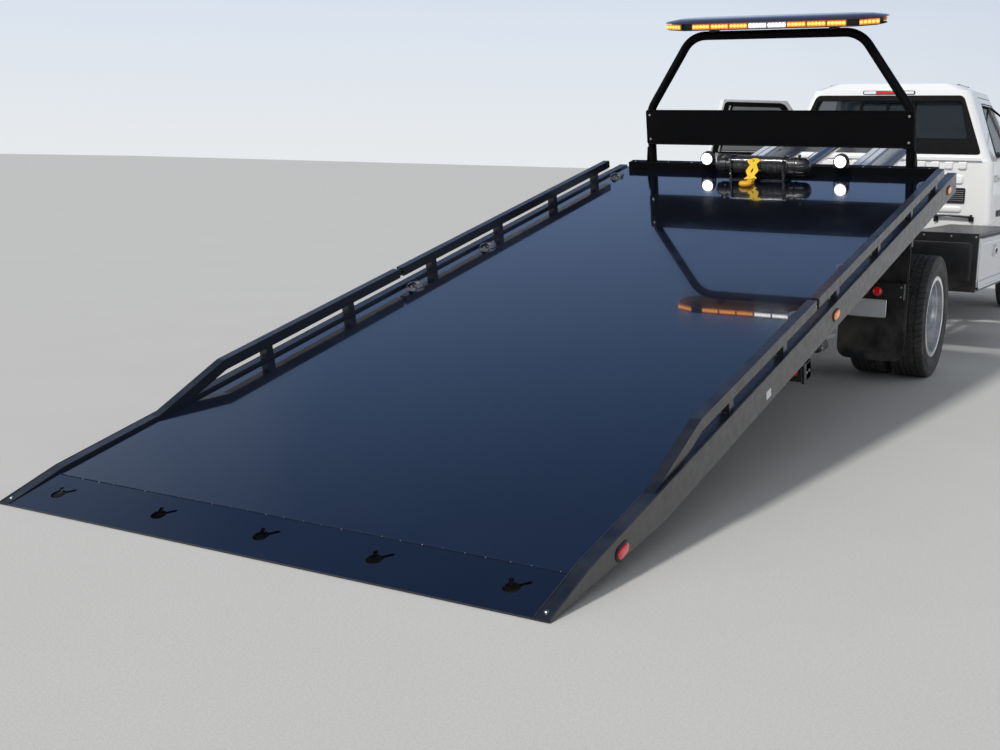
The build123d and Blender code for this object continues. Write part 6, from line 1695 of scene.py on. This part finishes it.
# Cab interior
def bench_seat():
    """Padded bench: crowned cushion and back with sewn channels, and two head restraints."""
    channels = (-0.62, -0.34, -0.06, 0.06, 0.34, 0.62)

    def pad(name, low, high, depth_axis, crown, fill):
        shape = Shape().use("cloth")
        size = [high[i] - low[i] for i in range(3)]
        middle = [(high[i] + low[i]) / 2 for i in range(3)]
        wide, along = 1, (0 if depth_axis == 2 else 2)
        half = size[depth_axis] / 2
        nu, nv = 72, 22

        def level(u, v, face):
            edge = min(1.0, (1 - abs(u)) * size[wide] / 0.11, (1 - abs(v)) * size[along] / 0.11)
            round_edge = sin(min(1.0, max(0.0, edge)) * pi / 2) ** 0.6
            if face < 0:
                return half * (0.55 + 0.45 * round_edge)
            lift = crown * (1 - u ** 4) * (1 - v * v) * 0.6
            groove = 0.0
            for at in channels:
                groove += 0.011 * max(0.0, 1 - abs(u - at) * size[wide] / 2 / 0.016)
            if abs(u) < 0.93:
                for at in (-0.42, 0.30):
                    groove += 0.007 * max(0.0, 1 - abs(v - at) * size[along] / 2 / 0.013)
            pucker = 0.0012 * sin(u * 61) * sin(v * 23)
            return (half - crown) * round_edge + (lift + pucker - groove) * round_edge

        def point(u, v, face):
            p = [0, 0, 0]
            squeeze = 1 - 0.012 * (1 - abs(v)) - 0.006 * cos(u * 9)
            p[wide] = middle[wide] + u * size[wide] / 2
            p[along] = middle[along] + v * size[along] / 2 * (squeeze if abs(v) > 0.9 else 1)
            p[depth_axis] = middle[depth_axis] + face * level(u, v, face)
            return p

        rings = []
        for i in range(nu + 1):
            u = -1 + 2 * i / nu
            top = [point(u, -1 + 2 * j / nv, 1) for j in range(nv + 1)]
            bottom = [point(u, 1 - 2 * j / nv, -1) for j in range(nv + 1)]
            rings.append(top + bottom)
        shape.loops(rings)
        shape.made(name, "chassis", "seat_cloth", smooth=70)

    pad("seat_cushion", (8.985, -0.715, 0.93), (9.535, 0.715, 1.095), 2, 0.02, 0.8)
    pad("seat_back", (8.962, -0.715, 1.085), (9.095, 0.715, 1.50), 0, 0.016, 0.75)
    base = Shape().use("trim")
    base.prism(rounded(9.0, -0.70, 9.50, 0.70, 0.04), 2, 0.862, 0.945)
    for y in (-0.5, -0.2, 0.2, 0.5):
        base.use("sign").box((8.99, y - 0.02, 0.861), (9.50, y + 0.02, 0.875))
    base.use("trim")
    for side in (-1, 1):
        for dy in (-0.045, 0.045):
            base.use("polished").rod((9.035, side * 0.40 + dy, 1.46), (9.035, side * 0.40 + dy, 1.53), 0.006,
                                     10)
    base.use("cloth")
    for side in (-1, 1):
        outline = rounded(side * 0.40 - 0.115, 1.515, side * 0.40 + 0.115, 1.578, 0.03)
        base.stack(0, [(x, about(outline, (side * 0.40, 1.5465), k)) for x, k in
                       ((8.985, 0.7), (8.99, 0.93), (9.02, 1.0), (9.055, 1.0), (9.078, 0.93), (9.085, 0.7))])
    base.made("seat_base", "chassis", "trim_plastic", smooth=50, replaces=("seat_bench",))
    belts = Shape().use("sign")
    for side in (-1, 1):
        y = side * 0.742
        belts.loops([[(x, y - 0.0015, z), (x, y + 0.0015, z), (x + 0.045, y + 0.0015, z + 0.004),
                      (x + 0.045, y - 0.0015, z + 0.004)] for x, z in
                     ((9.06, 1.05), (9.05, 1.25), (9.035, 1.45), (9.03, 1.56))])
        belts.use("trim").box((9.03, y - 0.008, 1.555), (9.085, y + 0.008, 1.60)).use("sign")
        belts.use("red").box((9.16, side * 0.30 - 0.012, 1.10),
                             (9.185, side * 0.30 + 0.012, 1.125)).use("trim")
        belts.box((9.15, side * 0.30 - 0.016, 1.06), (9.19, side * 0.30 + 0.016, 1.10)).use("sign")
    belts.made("seat_belts", "chassis", "trim_plastic", smooth=40)


def dashboard_details():
    """Dash: hooded gauges, vents, radio with its knobs, and glove box."""
    skin = Skin("dashboard")
    x = skin.hit((9.6, 0.0, 1.30), (1, 0, 0)).x
    dash = Shape().use("trim")
    hood_top = 1.424
    dash.loops([[(x - 0.012, 0.175, 1.245), (x - 0.012, 0.605, 1.245), (x - 0.012, 0.595, 1.385),
                 (x - 0.012, 0.54, hood_top), (x - 0.012, 0.24, hood_top), (x - 0.012, 0.185, 1.385)],
                [(x + 0.02, 0.17, 1.24), (x + 0.02, 0.61, 1.24), (x + 0.02, 0.60, 1.39),
                 (x + 0.02, 0.545, hood_top), (x + 0.02, 0.235, hood_top), (x + 0.02, 0.18, 1.39)]])
    for y, r in ((0.30, 0.055), (0.48, 0.055), (0.39, 0.026)):
        z = 1.325 if r > 0.05 else 1.375
        dash.use("sign").lathe([(0.0, r), (0.004, r), (0.006, r * 0.93), (0.002, r * 0.9), (0.0, 0.002)],
                               (x - 0.012, y, z), (-1, 0, 0), 32)
        dash.use("plate")
        for k in range(11):
            a = radians(220 - 26 * k)
            dash.rod((x - 0.0155, y - r * 0.68 * cos(a), z + r * 0.68 * sin(a)),
                     (x - 0.0155, y - r * 0.84 * cos(a), z + r * 0.84 * sin(a)), 0.0009, 5)
        dash.use("red").rod((x - 0.0165, y, z), (x - 0.0165, y - r * 0.45, z - r * 0.5), 0.0011, 5)
    dash.use("sign")
    for y0, y1, z0, z1 in ((-0.13, 0.08, 1.27, 1.37), (-0.13, 0.08, 1.18, 1.25)):
        dash.prism(rounded(y0, z0, y1, z1, 0.01), 0, x - 0.006, x + 0.01)
    for y, z in ((0.70, 1.33), (-0.20, 1.33), (-0.70, 1.33), (0.14, 1.33)):
        dash.use("sign").prism(rounded(y - 0.045, z - 0.03, y + 0.045, z + 0.03, 0.008), 0, x - 0.005,
                               x + 0.01)
        dash.use("trim")
        for k in range(4):
            dash.box((x - 0.010, y - 0.042, z - 0.024 + k * 0.0145),
                     (x - 0.004, y + 0.042, z - 0.019 + k * 0.0145))
    outline = rounded(-0.66, 1.16, -0.24, 1.27, 0.015)
    dash.prism(outline, 0, x - 0.005, x + 0.01)
    dash.use("polished")
    for k in range(3):
        dash.lathe([(0, 0.014), (0.012, 0.0125), (0.014, 0.010)], (x - 0.006, -0.10 + 0.075 * k, 1.215),
                   (-1, 0, 0), 20)
    dash.made("dashboard_details", "chassis", "trim_plastic", smooth=38)


def steering_wheel_piece():
    """Wheel rim with thumb grips, three spokes, a padded hub and the column's shroud and stalks."""
    centre = Vector((9.99, 0.39, 1.30))
    normal = Vector((-cos(radians(28)), 0, sin(radians(28))))
    side = Vector((0, 1, 0))
    up = side.cross(normal)
    wheel = Shape().use("trim")
    rings = []
    for a in turns(72):
        out = side * cos(a) + up * sin(a)
        grip = 0.0148 + 0.0012 * max(0.0, cos(2 * (a - 0.6))) + 0.0004 * sin(24 * a)
        rings.append([centre + out * (0.19 + grip * cos(t)) + normal * (grip * 0.96 * sin(t)) for t in
                      turns(14)])
    wheel.loops(rings, closed_path=True)
    for a in (0.0, pi, 1.5 * pi):
        out = side * cos(a) + up * sin(a)
        tangent = normal.cross(out)
        wheel.loops([[centre + out * r - normal * drop + tangent * (w * x) + normal * (t * z) for x, z in
                      rounded(-1, -1, 1, 1, 0.5, 3)] for r, drop, w, t in
                     ((0.04, 0.016, 0.034, 0.008), (0.10, 0.012, 0.024, 0.007), (0.165, 0.002, 0.020, 0.007),
                      (0.187, 0.0, 0.018, 0.008))])
    wheel.lathe([(-0.03, 0.035), (-0.02, 0.062), (-0.006, 0.074), (0.004, 0.070), (0.009, 0.05),
                 (0.011, 0.01)], centre, normal, 40)
    wheel.lathe([(-0.16, 0.045), (-0.05, 0.04), (-0.03, 0.034)], centre, normal, 28)
    for end in (-1, 1):
        wheel.tube([centre - normal * 0.07 + side * end * 0.03, centre - normal * 0.065 + side * end * 0.12,
                    centre - normal * 0.058 + side * end * 0.165 + up * 0.01], 0.0058, 8)
    wheel.made("steering_wheel_piece", "chassis", "trim_plastic", smooth=50, replaces=("steering_wheel",))


# Sides: toolboxes, steps, tank, exhaust and frame
def toolbox_details():
    """Pressed door panels, latches, drip rails and the boxes' bolts."""
    for name, side in (("left", 1), ("right", -1)):
        door = Shape().use("silver_and_highlight")
        face = side * 1.2
        outer = rounded(7.03, 0.525, 8.37, 0.825, 0.03)
        inner = rounded(7.045, 0.540, 8.355, 0.810, 0.02)
        door.stack(1, [(face + side * k, ring) for k, ring in
                       ((-0.001, outer), (0.003, outer), (0.0055, inner), (-0.001, inner))], closed_path=True)
        door.use("polished")
        plate = rounded(7.635, 0.70, 7.765, 0.784, 0.012)
        door.stack(1, [(face + side * k, plate) for k in (0.0105, 0.0145)])
        recess = rounded(7.655, 0.715, 7.745, 0.757, 0.01)
        door.use("sign").stack(1, [(face + side * k, recess) for k in (0.0142, 0.0152)])
        door.use("polished").stack(1, [(face + side * k, [(x0, z0), (x0, z1), (x1, z1), (x1, z0)]) for k, x0,
                                       x1, z0, z1 in ((0.0145, 7.665, 7.735, 0.722, 0.730),
                                                      (0.0195, 7.672, 7.728, 0.723, 0.729))])
        door.lathe([(0, 0.009), (0.003, 0.0085), (0.004, 0.005)], (7.70, face + side * 0.0145, 0.769),
                   (0, side, 0), 18)
        door.use("bolt")
        for x in (7.648, 7.752):
            for z in (0.712, 0.773):
                door.lathe([(0, 0.0042), (0.0015, 0.0035), (0.0022, 0.001)], (x, face + side * 0.0143, z),
                           (0, side, 0), 12)
        door.made(f"toolbox_door_details_{name}", f"toolbox_door_{name}", "box_silver", smooth=35,
                  bevel=0.0008)
    boxes = Shape()
    for side in (-1, 1):
        boxes.use("satin_black")
        drip = [(side * 1.2165, 0.872), (side * 1.2195, 0.866), (side * 1.2165, 0.860)]
        boxes.stack(0, [(x, drip) for x in (6.975, 8.425)])
        boxes.use("bolt")
        for x in (7.05, 7.45, 7.95, 8.35):
            boxes.bolt((x, side * 1.18, 0.9), (0, 0, 1), 0.008)
            boxes.bolt((x, side * 0.60, 0.9), (0, 0, 1), 0.008)
        for y in (0.62, 0.80, 1.0, 1.18):
            boxes.bolt((6.95, side * y, 0.875), (-1, 0, 0), 0.008)
            boxes.bolt((8.45, side * y, 0.875), (1, 0, 0), 0.008)
        boxes.use("satin_black")
        for x, out in ((6.95, -1), (8.45, 1)):
            y0, y1 = across(side, 0.55, 1.16)
            pad = rounded(y0, 0.53, y1, 0.83, 0.03)
            boxes.stack(0, [(x + out * k, about(pad, (side * 0.855, 0.68), share)) for k, share in
                            ((-0.002, 1.0), (0.002, 1.0), (0.005, 0.96))])
    boxes.made("toolbox_details", "chassis", "chassis_black", smooth=38)


def step_details():
    """Tread plate studs on the side steps."""
    steps = Shape().use("brushed")
    skin = Skin("side_steps")
    for side in (-1, 1):
        for row in range(4):
            for column in range(34):
                x = 9.10 + column * 0.0315 + (0.0157 if row % 2 else 0.0)
                if x > 10.15:
                    continue
                top = skin.hit((x, side * (0.945 + row * 0.036), 0.56), (0, 0, -1))
                if top.z > 0.45:
                    a = 0.7 if (row + column) % 2 else -0.7
                    d, e = Vector((cos(a), sin(a), 0)) * 0.011, Vector((-sin(a), cos(a), 0)) * 0.0032
                    steps.loops([[top + d * k + e * m for k, m in ((-1, 0), (0, -1), (1, 0), (0, 1))],
                                 [top + Vector((0, 0, 0.0022)) + (d * k + e * m) * 0.6 for k, m in
                                  ((-1, 0), (0, -1), (1, 0), (0, 1))]])
    steps.made("step_treads", "chassis", "trim_plastic", smooth=30)


def chassis_details():
    """Frame rivets, tank straps and cap, exhaust clamps and tip, and wiring along the rails."""
    under = Shape()
    under.use("bolt")
    for side in (-1, 1):
        for k in range(28):
            x = 4.85 + k * 0.235
            for z in (0.64, 0.745):
                under.lathe([(0, 0.011), (0.004, 0.010), (0.007, 0.005)], (x, side * 0.432, z), (0, side, 0),
                            12)
    under.use("trim")
    for side in (-1, 1):
        under.tube([(4.75, side * 0.415, 0.806), (5.4, side * 0.416, 0.806), (7.0, side * 0.415, 0.806),
                    (8.9, side * 0.414, 0.806)], 0.008, 8)
    skin = Skin("fuel_tank")
    under.use("brushed")
    for x in (9.10, 9.40, 9.70):
        ring = []
        for a in range(0, 360, 12):
            t = radians(a)
            ring.append(skin.hit((x, 0.64 + 0.6 * cos(t), 0.5 + 0.6 * sin(t)), (0, -cos(t), -sin(t))))
        mid, step = Vector((x, 0.641, 0.498)), Vector((0.016, 0, 0))
        raised = [p + (p - mid).normalized() * 0.003 for p in ring]
        under.loops([[p - step for p in ring], [p - step for p in raised], [p + step for p in raised],
                     [p + step for p in ring]], closed_path=True)
    cap = skin.hit((9.78, 2.0, 0.56), (0, -1, 0))
    under.use("sign")
    under.lathe([(-0.01, 0.04), (0.012, 0.04), (0.014, 0.05), (0.035, 0.05), (0.038, 0.044)], cap, (0, 1, 0),
                32)
    for a in turns(12):
        x, z = 0.049 * cos(a), 0.049 * sin(a)
        under.box(cap + Vector((x - 0.003, 0.016, z - 0.003)), cap + Vector((x + 0.003, 0.034, z + 0.003)))
    under.use("brushed")
    for x in (8.95, 9.3, 9.72):
        under.lathe([(-0.014, 0.1105), (-0.014, 0.1135), (0.014, 0.1135), (0.014, 0.1105)], (x, -0.63, 0.44),
                    (1, 0, 0), 48, closed=True)
    under.use("polished")
    under.lathe([(-0.012, 0.036), (-0.014, 0.041), (-0.008, 0.0425), (0.10, 0.0425), (0.104, 0.0385),
                 (0.10, 0.0375), (0.0, 0.0375)], (4.645, -0.68, 0.27), (1, 0, 0), 40, closed=True)
    under.made("chassis_details", "chassis", "chassis_black", smooth=40)


deck_seam()
channel_edges()
guard_rail_details()
side_markers()
work_lamps()
tie_ring_details()
headboard_details()
light_bar_piece()
winch_piece()
hook_piece()
tyre_pieces()
rim_fittings()
tail_lamps()
number_plate()
flap_details()
lift_ends()
boom_details()
subframe_details()
slide_details()
cab_rear()
cab_roof()
door_pieces()
windscreen_details()
grille_piece()
headlamp_pieces()
bumper_details()
hood_details()
arch_lips()
bench_seat()
dashboard_details()
steering_wheel_piece()
toolbox_details()
step_details()
chassis_details()
